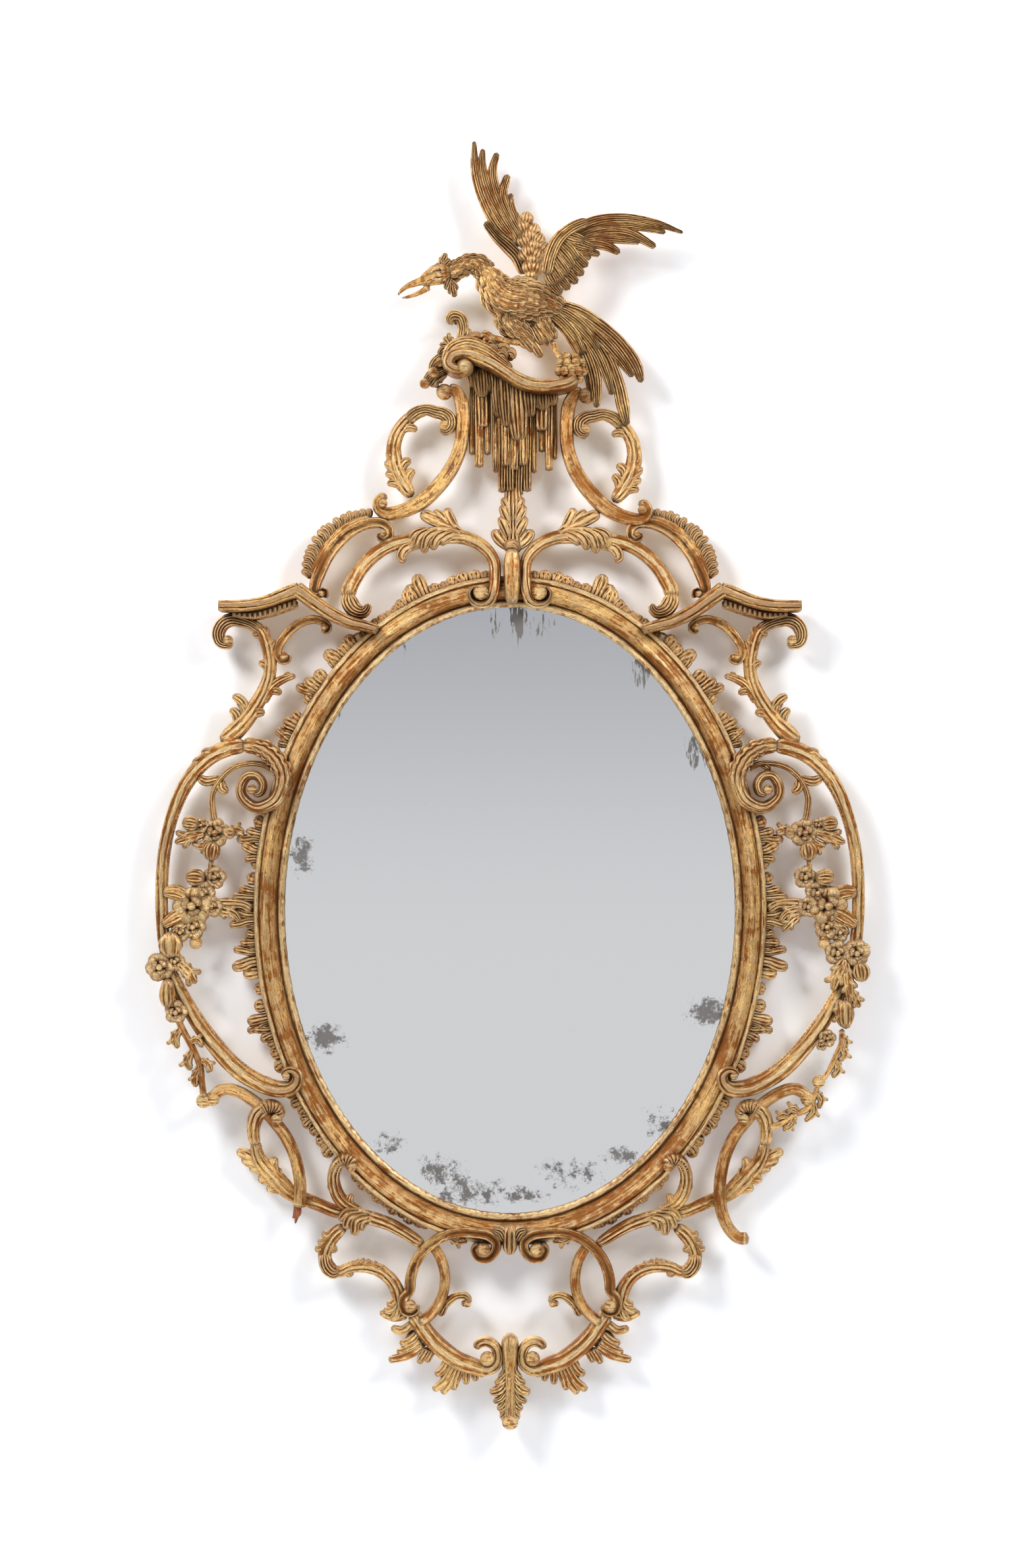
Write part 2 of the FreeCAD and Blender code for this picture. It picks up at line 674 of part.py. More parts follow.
SIDE_SCROLL = Carving(
    Band(
        [
            (998, 352, 4, 46), (978, 348, 5, 48), (962, 364, 6, 50), (970, 386, 7, 50), (1003, 396, 7, 50),
            (1038, 389, 7, 50), (1056, 365, 7.5, 50), (1050, 337, 8, 50), (1024, 313, 8, 52),
            (985, 303, 8.5, 54),
            (945, 310, 9, 54), (908, 327, 10, 54), (884, 360, 11, 54), (877, 398, 12, 54),
            (893, 434, 11.5, 54),
            (928, 464, 10.5, 50), (982, 488, 10, 44), (1045, 496, 10, 41), (1100, 487, 10), (1153, 468, 10),
            (1203, 438, 9.5), (1244, 400, 9), (1278, 357, 9), (1303, 313, 9), (1323, 266, 9),
            (1338, 217, 9),
            (1349, 167, 9), (1355, 117, 9), (1357, 66, 9), (1357, 16, 9), (1355, -34, 9), (1349, -85, 9),
            (1338, -135, 9), (1320, -185, 9), (1293, -232, 9), (1260, -280, 9.3), (1222, -327, 9.6),
            (1183, -370, 10), (1140, -412, 10.5), (1096, -450, 10.7), (1047, -483, 10.7),
            (995, -507, 10.7, 42),
            (940, -525, 10.5, 46), (896, -532, 10, FRONT_OVER_MOULDING),
            (856, -529, 9, FRONT_OVER_MOULDING),
            (830, -512, 8, FRONT_OVER_MOULDING), (828, -492, 7, FRONT_OVER_MOULDING),
            (846, -478, 6, FRONT_OVER_MOULDING), (870, -482, 5, FRONT_OVER_MOULDING),
        ],
    ),
    *lobes(LOBE_FRONT, (1120, 480, 1172, 502), (1180, 450, 1212, 478), (1225, 415, 1245, 440)),
)

LOWER_ROD_POINTS = [
    (1154, -566, 6), (1146, -549, 7), (1124, -537, 7.5), (1096, -534, 7.5), (1058, -541, 7.5),
    (1014, -560, 7.5),
    (977, -581, 7.5), (944, -606, 7.5), (913, -634, 7.5), (884, -662, 7.5), (859, -695, 7.5),
    (840, -729, 7.5), (826, -770, 7.5), (818, -812, 7.5), (817, -850, 7.5), (824, -886, 7.5),
]
LOWER_ROD_FOOT = [(838, -924, 7.5), (860, -957, 7.5), (892, -978, 7.5), (932, -977, 7.8)]
ROD_EYE = Boss(1158, -567, 8.5, ROD_FRONT + 4, ROD_BACK - 2)
LOWER_ROD = Carving(Band(LOWER_ROD_POINTS + LOWER_ROD_FOOT, ROD_FRONT, ROD_BACK), ROD_EYE)
BROKEN_ROD = Carving(Band(LOWER_ROD_POINTS, ROD_FRONT, ROD_BACK), ROD_EYE)
SPLINTER = Carving(Band([(821, -873, 4), (829, -903, 3.4), (836, -935, 1.0)], ROD_FRONT - 4, ROD_BACK + 3))

LOWER_LEAF = Carving(
    Band(
        [
            (912, -625, 5, 50), (893, -604, 8, 50), (905, -584, 9.5, 50), (940, -578, 10.5, 50),
            (978, -598, 10.5, 50), (998, -634, 9, 46), (1000, -672, 7.5, 36), (992, -705, 7, 30),
            (988, -732, 8, 26), (968, -762, 10, FRONT_LOW), (935, -790, 11, 22), (893, -824, 11, 20.5),
            (850, -852, 9.5, 20.5), (800, -868, 8.5, 20.5), (745, -884, 8, FRONT_LOW), (690, -900, 8, 28),
            (645, -908, 7, 28),
        ],
    ),
    *lobes(
        LOBE_FRONT_LOW, (990, -720, 1068, -722), (975, -750, 1030, -759), (948, -780, 985, -807),
            (915, -805, 952, -834),
        (960, -765, 919, -739),
    ),
)

BASE_BRANCH = Carving(
    Band(
        [
            (338, -1000, 6), (377, -979, 7), (422, -957, 7.5), (472, -937, 8), (522, -924, 8.5),
            (567, -914, 9.5), (605, -914, 10), (640, -932, 9), (676, -959, 8.5), (706, -990, 9),
            (722, -1025, 8.5), (716, -1056, 8), (692, -1076, 7.5), (660, -1079, 7), (630, -1068, 7),
            (590, -1063, 7.5), (545, -1066, 8), (503, -1079, 8), (468, -1101, 8), (445, -1128, 8.5),
            (432, -1156, 9), (425, -1185, 9),
        ],
        LEAF_FRONT,
    ),
    Band([(575, -908, 6), (620, -890, 8), (662, -862, 8.5), (683, -828, 8),
        (689, -800, 7)], CROOK_FRONT, FRAME_BACK),
    Band(
        [(684, -822, 7), (687, -790, 7.5), (671, -758, 7.5), (638, -743, 8), (612, -754, 6.5)],
        CURL_OVER_MOULDING,
        CROWN_FRONT + GLUE_LINE,
    ),
    *lobes(
        LOBE_FRONT, (590, -920, 606, -968), (650, -870, 617, -846), (684, -815, 712, -816),
            (580, -1062, 589, -1038),
        (540, -1066, 548, -1040), (505, -1078, 489, -1060), (465, -1102, 440, -1096),
        (690, -970, 735, -962),
        (705, -985, 752, -990), (620, -1068, 617, -1096), (432, -1160, 490, -1180),
    ),
)

BASE_RING = Carving(
    Band(
        [
            (118, -992, 4, 48), (134, -1008, 5, 48), (120, -1030, 5.5, 48), (88, -1033, 6, 50),
            (60, -1012, 6.5, FRONT_OVER_MOULDING), (58, -985, 6.5, FRONT_OVER_MOULDING),
            (85, -966, 6.5, FRONT_OVER_MOULDING), (134, -959, 6.5, FRONT_OVER_MOULDING),
            (183, -957, 6.8, FRONT_OVER_MOULDING), (232, -963, 6.8, FRONT_OVER_MOULDING),
            (280, -979, 6.8, 50), (322, -1003, 6.8, 46), (352, -1029, 6.8), (374, -1061, 6.8),
            (387, -1098, 6.8), (389, -1135, 6.8), (382, -1168, 6.5),
        ],
    ),
    Boss(104, -1008, 6, 54),
    Boss(377, -1188, 8, 44),
    Band(
        [
            (318, -990, 5, 30), (290, -1015, 6.3, 30), (265, -1050, 6.5, 32), (254, -1090, 6.5, 34),
            (256, -1127, 6.5, 34), (268, -1160, 6.5, 34), (294, -1193, 6.5, 34), (330, -1219, 6.5, 32),
            (362, -1222, 6, 30), (378, -1205, 5, 30),
        ],
        back=CARVING_BACK,
    ),
    Band(
        [(166, -1172, 3.5), (162, -1162, 4), (175, -1152, 4.5), (205, -1152, 4.5), (235, -1164, 5),
            (275, -1176, 5)],
        SPRIG_FRONT,
        FRAME_BACK + 2,
    ),
)

BASE_SCROLL = Carving(
    Band(
        [
            (49, -1330, 6.5, 44), (52, -1352, 7.5, 44), (76, -1369, 8, 44), (112, -1369, 9, 42),
            (150, -1360, 10, 40), (197, -1347, 10.5), (246, -1322, 10.5), (293, -1290, 10.5),
            (330, -1257, 10),
            (352, -1232, 9),
        ],
    ),
    Boss(80, -1330, 8.5, 48),
    *lobes(
        LOBE_FRONT, (108, -1372, 116, -1402), (148, -1362, 151, -1417), (186, -1350, 186, -1398),
        (222, -1338, 286, -1445), (290, -1290, 337, -1365), (318, -1268, 455, -1340),
        (350, -1238, 425, -1296),
        (358, -1232, 470, -1230),
    ),
)

def bloom(u, w, radius, front=GARLAND_FRONT, back=GARLAND_BACK):
    """Return one bloom, bud or berry of a garland."""
    return Boss(u, w, radius, front, back)


def upper_bunches():
    """Return the members of a garland's upper part, which is alike on both sides."""
    return [
        Band(
            [
                (934, 428, 3.5), (962, 437, 3.5), (1015, 441, 3.5), (1067, 431, 3.5), (1107, 411, 3.5),
                (1140, 380, 3.5), (1160, 340, 3.8), (1158, 300, 4.2), (1150, 262, 4.5), (1148, 215, 5),
                (1162, 150, 5), (1164, 90, 5), (1190, 42, 6), (1232, 2, 7, DROP_FRONT - 4),
                (1250, -45, 7, DROP_FRONT - 3),
                (1262, -80, 6, DROP_FRONT - 3),
            ],
            VINE_FRONT,
            GARLAND_BACK,
        ),
        bloom(1146, 233, 13),
        bloom(1160, 172, 9),
        bloom(1159, 95, 12),
        bloom(1245, 16, 19, DROP_FRONT),
        Band(
            [(1010, 236, 5), (1050, 234, 7), (1090, 233, 8), (1140, 236, 6), (1190, 246, 8),
                (1212, 250, 6)],
            VINE_FRONT,
            FRILL_FRONT + GLUE_LINE,
        ),
        Band(
            [(1010, 8, 6), (1070, 12, 6), (1130, 14, 8), (1180, 14, 10), (1225, 14, 8)],
            VINE_FRONT,
            FRILL_FRONT + GLUE_LINE,
        ),
        Band([(1215, 240, 5), (1260, 220, 5), (1312, 206, 4)], VINE_FRONT, GARLAND_BACK),
        Band([(1250, 30, 5), (1290, 48, 4.5), (1326, 55, 4)], VINE_FRONT, GARLAND_BACK),
    ]


GARLAND_RIGHT = Carving(
    *upper_bunches(),
    bloom(1240, -48, 14),
    Band(
        [(1250, -62, 8), (1268, -110, 8), (1305, -170, 5.5), (1316, -215, 5.5), (1318, -262, 5),
            (1304, -318, 5)],
        DROP_FRONT,
        DROP_BACK,
    ),
    Band([(1272, -122, 11), (1310, -124, 10), (1350, -126, 12), (1372, -128, 6)], DROP_FRONT, DROP_BACK),
    Band([(1308, -184, 5), (1340, -181, 8), (1366, -178, 9), (1384, -176, 4)], DROP_FRONT, DROP_BACK),
    bloom(1302, -312, 12, DROP_FRONT, DROP_BACK),
    Band(
        [
            (1304, -312, 5), (1294, -355, 4), (1288, -395, 3.5), (1270, -430, 3.5), (1252, -462, 3.5),
            (1230, -488, 3.5), (1202, -510, 4), (1192, -538, 3.5), (1176, -570, 3.5), (1148, -593, 4),
            (1108, -607, 4), (1071, -627, 4), (1030, -640, 4), (1012, -641, 4),
        ],
        DROP_FRONT,
        GARLAND_BACK,
    ),
    bloom(1200, -506, 7),
)

GARLAND_LEFT = Carving(
    *upper_bunches(),
    Band(
        [
            (1250, -62, 8), (1276, -100, 9), (1318, -160, 6), (1327, -210, 5), (1324, -256, 5),
            (1297, -303, 5),
            (1270, -356, 4.5), (1232, -410, 4), (1206, -460, 4), (1197, -500, 4),
        ],
        DROP_FRONT,
        DROP_BACK,
    ),
    bloom(1312, -98, 17, DROP_FRONT + 4, DROP_BACK),
    Band([(1315, -164, 6), (1345, -166, 12), (1380, -166, 7)], DROP_FRONT, DROP_BACK),
    bloom(1327, -256, 10, DROP_FRONT, DROP_BACK),
    bloom(1297, -303, 10, DROP_FRONT, DROP_BACK),
    Band([(1199, -486, 4), (1194, -520, 4), (1184, -545, 4.5), (1164, -554, 4)], DROP_FRONT, GARLAND_BACK),
)


def eave(grow=0.0):
    """Return the right pagoda eave, or its pocket: a band with a slanting soffit, highest at its apex."""
    stations = (
        (512, 850, 836, 822), (600, 872, 856, 834), (672, 900, 878, 850), (728, 928, 898, 864),
        (778, 958, 916, 880), (824, 987, 936, 904), (878, 962, 924, 895), (934, 943, 907, 882),
        (997, 931, 895, 873), (1059, 926, 891, 873), (1132, 924, 892, 880),
    )
    sections = []
    for u, top, band, bottom in stations:
        up = vec(0, grow)
        sections.append(
            polygon(
                [
                    spot(u, top, FRAME_BACK - grow) + up, spot(u, top, EAVE_FRONT + grow) + up,
                    spot(u, band, EAVE_FRONT + grow) - up, spot(u, bottom, EAVE_SOFFIT_FRONT + grow) - up,
                    spot(u, bottom, FRAME_BACK - grow) - up,
                ]
            )
        )
    return Part.makeLoft(sections, True, True)


# Carving on the middle line

CREST_CLASP = Carving(
    Band([(8, 1085, 8), (8, 1045, 10), (8, 990, 10), (8, 935, 8), (8, 914, 4)], CLASP_FRONT),
    Band([(8, 1062, 9), (8, 1110, 13), (8, 1165, 16), (8, 1215, 12), (8, 1244, 6)], CLASP_LEAF_FRONT, CARVING_BACK),
    *lobes(LOBE_FRONT_HIGH, (8, 1105, 90, 1138), (8, 1105, -74, 1138), (8, 1150, 62, 1190), (8, 1150, -46, 1190)),
)

# Icicles of the rockwork as (left, right, tip)
ICICLES = (
    (-160, -138, 1362), (-138, -104, 1324), (-104, -74, 1362), (-74, -46, 1309), (-46, 84, 1250),
    (84, 110, 1307), (110, 137, 1370), (137, 168, 1314), (168, 184, 1348),
)
ICICLE_ROOT = 26


def rockwork_runs():
    """Return the outline of the dripping rockwork: a flat head and a row of icicles."""
    runs = []
    last = None
    for left, right, tip in ICICLES:
        shoulder = tip + ICICLE_ROOT
        if last:
            runs.append([last, (left, shoulder)])
        runs.append([(left, shoulder), ((left + right) / 2, tip), (right, shoulder)])
        last = (right, shoulder)
    runs.append([last, (184, 1545)])
    runs.append([(184, 1545), (20, 1562), (-160, 1600)])
    runs.append([(-160, 1600), (-160, 1362 + ICICLE_ROOT)])
    return runs


DRIPS = Carving(
    Plate(rockwork_runs(), FRAME_BACK, ROCKWORK_FRONT),
    Band([(18, 1540, 18), (18, 1470, 19), (18, 1380, 18), (18, 1300, 17), (18, 1266, 12),
        (18, 1242, 7)], CLASP_LEAF_FRONT),
)

PERCH_LEDGE = Carving(
    Band(
        [
            (-196, 1600, 6), (-222, 1601, 7), (-240, 1620, 8), (-222, 1643, 8.5), (-182, 1653, 8.5),
            (-126, 1645, 8.5),
            (-69, 1626, 8.5), (-19, 1602, 8.5), (31, 1580, 8.5), (80, 1563, 8.5), (130, 1558, 8.5),
            (180, 1560, 8.5), (230, 1569, 8.5), (262, 1583, 7),
        ],
        LEDGE_FRONT,
    ),
    Boss(-182, 1614, 11, LEDGE_FRONT + 2),
    Band([(-160, 1672, 8), (-110, 1672, 9), (-50, 1652, 8), (6, 1625, 7)], LEDGE_FRONT - 6, CARVING_BACK),
    Boss(234, 1608, 15, 60, CARVING_BACK),
    Boss(250, 1645, 8, 58, CARVING_BACK),
)

PERCH_FOLIAGE = Carving(
    Band(
        [
            (-196, 1676, 8), (-188, 1710, 7.5), (-184, 1740, 7.5), (-198, 1768, 8),
            (-224, 1774, 8.5), (-238, 1756, 6.5),
        ],
        FOLIAGE_FRONT,
        FOLIAGE_BACK,
    ),
    Band(
        [(-175, 1684, 8), (-230, 1674, 8), (-266, 1650, 8.5), (-292, 1618, 9.5), (-318, 1590, 9),
            (-332, 1566, 6)],
        SIDE_FOLIAGE_FRONT,
        SIDE_FOLIAGE_BACK,
    ),
    Band([(-205, 1690, 6), (-236, 1702, 6), (-258, 1709, 3.5)], SIDE_FOLIAGE_FRONT - 2, FOLIAGE_BACK + 1),
)

BIRD_BODY = Carving(
    Limb(
        [
            (-322, 1868, 7, 50), (-300, 1884, 12, 50), (-275, 1892, 13, 50), (-240, 1896, 11, 50),
            (-205, 1906, 9, 50),
            (-165, 1922, 8.5, 50), (-125, 1920, 9, 49), (-98, 1896, 10.5, 48), (-75, 1860, 15, 47),
            (-40, 1828, 22, BIRD_DEPTH), (20, 1812, 27, BIRD_DEPTH), (80, 1808, 25, 46),
            (135, 1812, 19, 44),
            (175, 1812, 12, 42), (196, 1808, 7, 41),
        ]
    ),
    Limb([(-318, 1872, 7.5, 50), (-352, 1868, 5.5, 50), (-395, 1852, 3.4, 50), (-432, 1837, 1.2, 50)]),
    Limb([(-310, 1862, 5.5, 50), (-350, 1851, 3.4, 50), (-390, 1838, 2.2, 50), (-422, 1828, 1.0, 50)]),
    Limb([(-285, 1905, 5, 50), (-268, 1932, 3.5, 50), (-248, 1954, 1.2, 50)]),
)

NEAR_WING = Carving(
    Plate(
        [
            [(110, 1868), (138, 1892), (154, 1949), (185, 1997), (239, 2032), (347, 2065),
                (494, 2068), (571, 2056), (672, 2018)],
            [(672, 2018), (610, 2018), (548, 2018)],
            [(548, 2018), (563, 1973)],
            [(563, 1973), (509, 1988), (470, 1990)],
            [(470, 1990), (424, 1955)],
            [(424, 1955), (347, 1952), (301, 1914), (262, 1866), (200, 1831)],
            [(200, 1831), (150, 1838), (110, 1868)],
        ],
        NEAR_WING_BACK,
        46 + WING_THICKNESS,
    )
)

FAR_WING = Carving(
    Plate(
        [
            [(40, 1868), (44, 1910), (30, 1949), (-8, 1973), (-47, 1997), (-101, 2053), (-140, 2151),
                (-151, 2222), (-140, 2299)],
            [(-140, 2299), (-105, 2275), (-98, 2225)],
            [(-98, 2225), (-51, 2264)],
            [(-51, 2264), (-46, 2200), (-44, 2145)],
            [(-44, 2145), (-8, 2198)],
            [(-8, 2198), (3, 2139), (23, 2075)],
            [(23, 2075), (69, 2086), (100, 2050), (146, 1997), (158, 1940), (140, 1880)],
            [(140, 1880), (90, 1862), (40, 1868)],
        ],
        FAR_WING_BACK,
        32 + WING_THICKNESS,
    )
)

BIRD_TAIL = Carving(
    Plate(
        [
            [(176, 1822), (270, 1783), (347, 1745), (417, 1700), (494, 1629), (511, 1573)],
            [(511, 1573), (478, 1590), (440, 1618)],
            [(440, 1618), (460, 1530), (455, 1446)],
            [(455, 1446), (420, 1520), (392, 1600)],
            [(392, 1600), (360, 1560), (337, 1500)],
            [(337, 1500), (322, 1590), (293, 1655), (230, 1730), (176, 1790)],
            [(176, 1790), (168, 1806), (176, 1822)],
        ],
        TAIL_BACK,
        38 + WING_THICKNESS,
    )
)

BIRD_LEGS = Carving(
    Limb([(30, 1762, 15, 54), (55, 1730, 13, 56), (80, 1700, 9, 57), (70, 1680, 5.5, 58)]),
    Limb([(78, 1684, 4.5, 58), (40, 1682, 4.2, 58), (-10, 1688, 4, 58), (-60, 1692, 4, 58),
        (-104, 1698, 3, 58)]),
    Limb([(85, 1715, 7, 56), (108, 1675, 5, 56), (123, 1641, 1.5, 56)]),
    Limb([(95, 1770, 14, 40), (128, 1735, 11, 40), (165, 1700, 7, 42), (205, 1676, 5, 44),
        (236, 1660, 4, 46)]),
)

BASE_CLASP = Carving(
    Band([(0, -936, 5), (0, -958, 9), (0, -998, 9), (0, -1028, 6)], FOLIAGE_FRONT),
    Band([(-72, -952, 4), (-36, -962, 6), (0, -972, 7), (36, -962, 6), (72, -952, 4)], FRONT_OVER_MOULDING, CARVING_BACK),
)

PENDANT = Carving(
    Band(
        [
            (0, -1258, 5), (0, -1272, 9), (0, -1295, 10.3), (0, -1320, 10), (0, -1350, 9.5), (0, -1400, 10),
            (0, -1450, 12), (0, -1490, 13.5), (0, -1515, 12.5), (0, -1535, 9), (0, -1546, 4),
        ],
        PENDANT_FRONT,
    ),
    *lobes(
        LEAF_FRONT, (10, -1375, 47, -1398), (-10, -1375, -47, -1398), (10, -1410, 82, -1438),
            (-10, -1410, -82, -1438),
        (12, -1460, 54, -1490), (-12, -1460, -54, -1490),
    ),
)


def main():
    """Build every piece, cut neighbours back to their glue lines and write one file for each."""
    pieces = {}
    pivots = {name: button_pivot(angle) for name, angle in BUTTON_ANGLES.items()}
    strap_places = strap_screw_places() + [vec(-place.x, place.y) for place in strap_screw_places()]

    holes = [pilot(pivot, 0.0, FRAME_BACK + SCREW_LENGTH) for pivot in pivots.values()]
    holes += [pilot(place, 0.0, FRAME_BACK + SCREW_LENGTH) for place in strap_places]
    for name, angles in SEGMENTS.items():
        pieces["oval_moulding_" + name] = oval_sweep(moulding_profile(), *angles).cut(holes)
    moulding = list(moulding_pockets().values())

    pieces["mirror_plate"] = mirror_plate()
    pieces["plate_blocks"] = plate_blocks()
    for name, board in backboards().items():
        pieces["backboard_" + name] = board

    for name, angle in BUTTON_ANGLES.items():
        pieces["turn_button_" + name] = turn_button(angle)
    head_seat = BUTTON_BACK - RUNNING_PLAY
    pieces["turn_button_screws"] = Part.makeCompound([screw(pivot, head_seat) for pivot in pivots.values()])
    strap = hanger_strap()
    ring = hanger_ring()
    pieces["hanger_straps"] = Part.makeCompound([strap, mirrored(strap)])
    pieces["hanger_ring_right"] = ring
    pieces["hanger_ring_left"] = mirrored(ring)
    strap_seat = FRAME_BACK - STRAP_THICKNESS
    pieces["hanger_screws"] = Part.makeCompound([screw(place, strap_seat) for place in strap_places])
    pad_places = [on_oval((LIP_WIDTH + MOULDING_WIDTH) / 2, angle) for angle in PAD_ANGLES]
    pieces["wall_pads"] = Part.makeCompound(
        [upright_cylinder(place, PAD_RADIUS, 0.0, FRAME_BACK) for place in pad_places]
    )

    frill = [frill_cluster(cluster) for cluster in FRILL]
    pieces["oval_frill"] = Part.makeCompound(frill + [mirrored(cluster) for cluster in frill])

    carve(pieces, moulding, [frill_cluster(cluster, GLUE_LINE) for cluster in FRILL])
    os.makedirs("parts", exist_ok=True)
    hang = hang_height()
    for name, shape in pieces.items():
        upright = shape.rotated(vec(0, 0), vec(1, 0), 90)
        upright.translated(FreeCAD.Vector(0, 0, -hang)).exportStep("parts/" + name + ".step")


def carve(pieces, moulding, frill):
    """Add every carved piece to the pieces by name, each cut back by those that it is glued to."""
    clasp = CREST_CLASP.pockets()
    ledge = PERCH_LEDGE.pockets()
    drips = DRIPS.pockets()
    pendant = PENDANT.pockets()
    eave_pocket = [eave(GLUE_LINE)]
    arch = ARCH_SCROLL.pockets()
    shoulder = SHOULDER_SCROLL.pockets()
    crest = CREST_SCROLL.pockets()
    bracket = EAVE_BRACKET.pockets()
    side = SIDE_SCROLL.pockets()
    rod = LOWER_ROD.pockets()
    leaf = LOWER_LEAF.pockets()
    branch = BASE_BRANCH.pockets()
    ring = BASE_RING.pockets()
    foliage = PERCH_FOLIAGE.pockets()
    body = BIRD_BODY.pockets()
    left_arch = [mirrored(pocket) for pocket in arch]
    left_shoulder = [mirrored(pocket) for pocket in shoulder]
    left_crest = [mirrored_on_crest(pocket) for pocket in crest]

    right = {
        "arch_scroll": ARCH_SCROLL.solid(moulding + eave_pocket),
        "shoulder_scroll": SHOULDER_SCROLL.solid(arch + eave_pocket),
        "eave": seated(eave(), moulding + frill),
        "eave_bracket": EAVE_BRACKET.solid(eave_pocket + moulding + frill),
        "leaf_stem": LEAF_STEM.solid(eave_pocket + bracket + side + frill),
        "side_scroll": SIDE_SCROLL.solid(moulding + frill),
        "lower_leaf": LOWER_LEAF.solid(rod + side + branch),
        "base_branch": BASE_BRANCH.solid(moulding + ring + frill),
        "base_ring": BASE_RING.solid(moulding + frill),
        "base_scroll": BASE_SCROLL.solid(ring + pendant + branch),
    }
    for name, shape in right.items():
        pieces[name + "_right"] = shape
        pieces[name + "_left"] = mirrored(shape)
    pieces["lower_rod_right"] = LOWER_ROD.solid(side)
    pieces["lower_rod_left"] = mirrored(BROKEN_ROD.solid(side + SPLINTER.pockets()))
    pieces["rod_splinter"] = mirrored(SPLINTER.solid())
    pieces["garland_right"] = GARLAND_RIGHT.solid(frill + leaf + rod + side)
    pieces["garland_left"] = mirrored(GARLAND_LEFT.solid(frill + rod + side))

    pieces["crest_clasp"] = CREST_CLASP.solid(moulding + arch + left_arch)
    pieces["drip_rockwork"] = DRIPS.solid(clasp + ledge)
    pieces["perch_ledge"] = PERCH_LEDGE.solid()
    pieces["perch_foliage"] = PERCH_FOLIAGE.solid(ledge)
    pieces["crest_scroll_right"] = CREST_SCROLL.solid(arch + shoulder + drips + ledge)
    left_scroll = mirrored_on_crest(CREST_SCROLL.solid())
    pieces["crest_scroll_left"] = seated(left_scroll, left_arch + left_shoulder + drips + ledge + foliage)
    pieces["crest_loop_right"] = CREST_LOOP.solid(crest)
    pieces["crest_loop_left"] = seated(mirrored_on_crest(CREST_LOOP.solid()), left_crest + foliage)

    pieces["bird_body"] = BIRD_BODY.solid()
    pieces["bird_wing_near"] = NEAR_WING.solid(body)
    pieces["bird_wing_far"] = FAR_WING.solid(body)
    pieces["bird_tail"] = BIRD_TAIL.solid(body)
    pieces["bird_legs"] = BIRD_LEGS.solid(body + ledge)

    pieces["base_clasp"] = BASE_CLASP.solid(moulding + ring + [mirrored(pocket) for pocket in ring])
    pieces["base_pendant"] = PENDANT.solid()


main()
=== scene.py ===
"""A carved and gilded oval wall mirror with a bird on its crest, dressed over its measured frame."""

import logging
import math
from dataclasses import dataclass
from enum import Enum
from typing import Callable, Sequence

import bmesh
import bpy
import numpy as np
from mathutils import Matrix, Vector

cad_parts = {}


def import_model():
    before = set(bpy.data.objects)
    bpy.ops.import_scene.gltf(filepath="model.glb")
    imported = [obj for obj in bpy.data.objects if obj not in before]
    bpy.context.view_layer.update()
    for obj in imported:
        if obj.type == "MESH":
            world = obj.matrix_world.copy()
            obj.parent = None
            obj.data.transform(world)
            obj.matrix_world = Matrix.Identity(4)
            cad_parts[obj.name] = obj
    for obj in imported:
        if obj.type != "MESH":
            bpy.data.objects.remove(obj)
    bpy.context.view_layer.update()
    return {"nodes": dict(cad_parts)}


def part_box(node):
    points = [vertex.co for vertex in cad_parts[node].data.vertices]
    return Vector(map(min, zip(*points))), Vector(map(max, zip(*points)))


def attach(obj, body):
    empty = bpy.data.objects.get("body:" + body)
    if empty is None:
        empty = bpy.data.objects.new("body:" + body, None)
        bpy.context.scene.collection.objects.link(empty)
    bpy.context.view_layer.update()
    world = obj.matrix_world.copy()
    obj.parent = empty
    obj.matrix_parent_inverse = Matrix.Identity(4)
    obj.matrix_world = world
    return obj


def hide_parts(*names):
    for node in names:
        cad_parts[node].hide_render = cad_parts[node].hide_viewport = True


LOG = logging.getLogger("oval_mirror")
Table = Sequence[tuple[float, ...]]
Array = np.ndarray
# Millimetres within which the edges of a skin are joined
SEAM = 0.02
# Share of a member's skin that lies on its face, with the rest on its back
FACE_SHARE = 0.74
# Fewest and most steps along a member
STEPS = (8, 620)
# Millimetres in a thousandth of the oval's half width and half height, for feathers and berries
ACROSS_MM = 0.312
UP_MM = 0.407
# Angle in radians past which an edge stays sharp
SHARP = 1.1
# Rounds of averaging and gain of the relief, which sets the rubbed tips, the painted highlight on ridges and
# the painted shade in hollows
RELIEF_ROUNDS = 2
RELIEF_GAIN = 1.1
# Half width of a tongue that gives none, and its greatest depth, in millimetres
TIP_HALF = 5.0
TONGUE_DEPTH = 16.0
# Turns a right-hand carving over to the left
TURN_OVER = Matrix.Diagonal((-1, 1, 1, 1))


class Slot(str, Enum):
    """The record's material slots."""

    GILDING = "gilding"
    MIRROR = "mirror"
    PINE = "pine"
    BRASS = "brass"
    IRON = "iron"
    FELT = "felt"
    BARE_WOOD = "bare_wood"


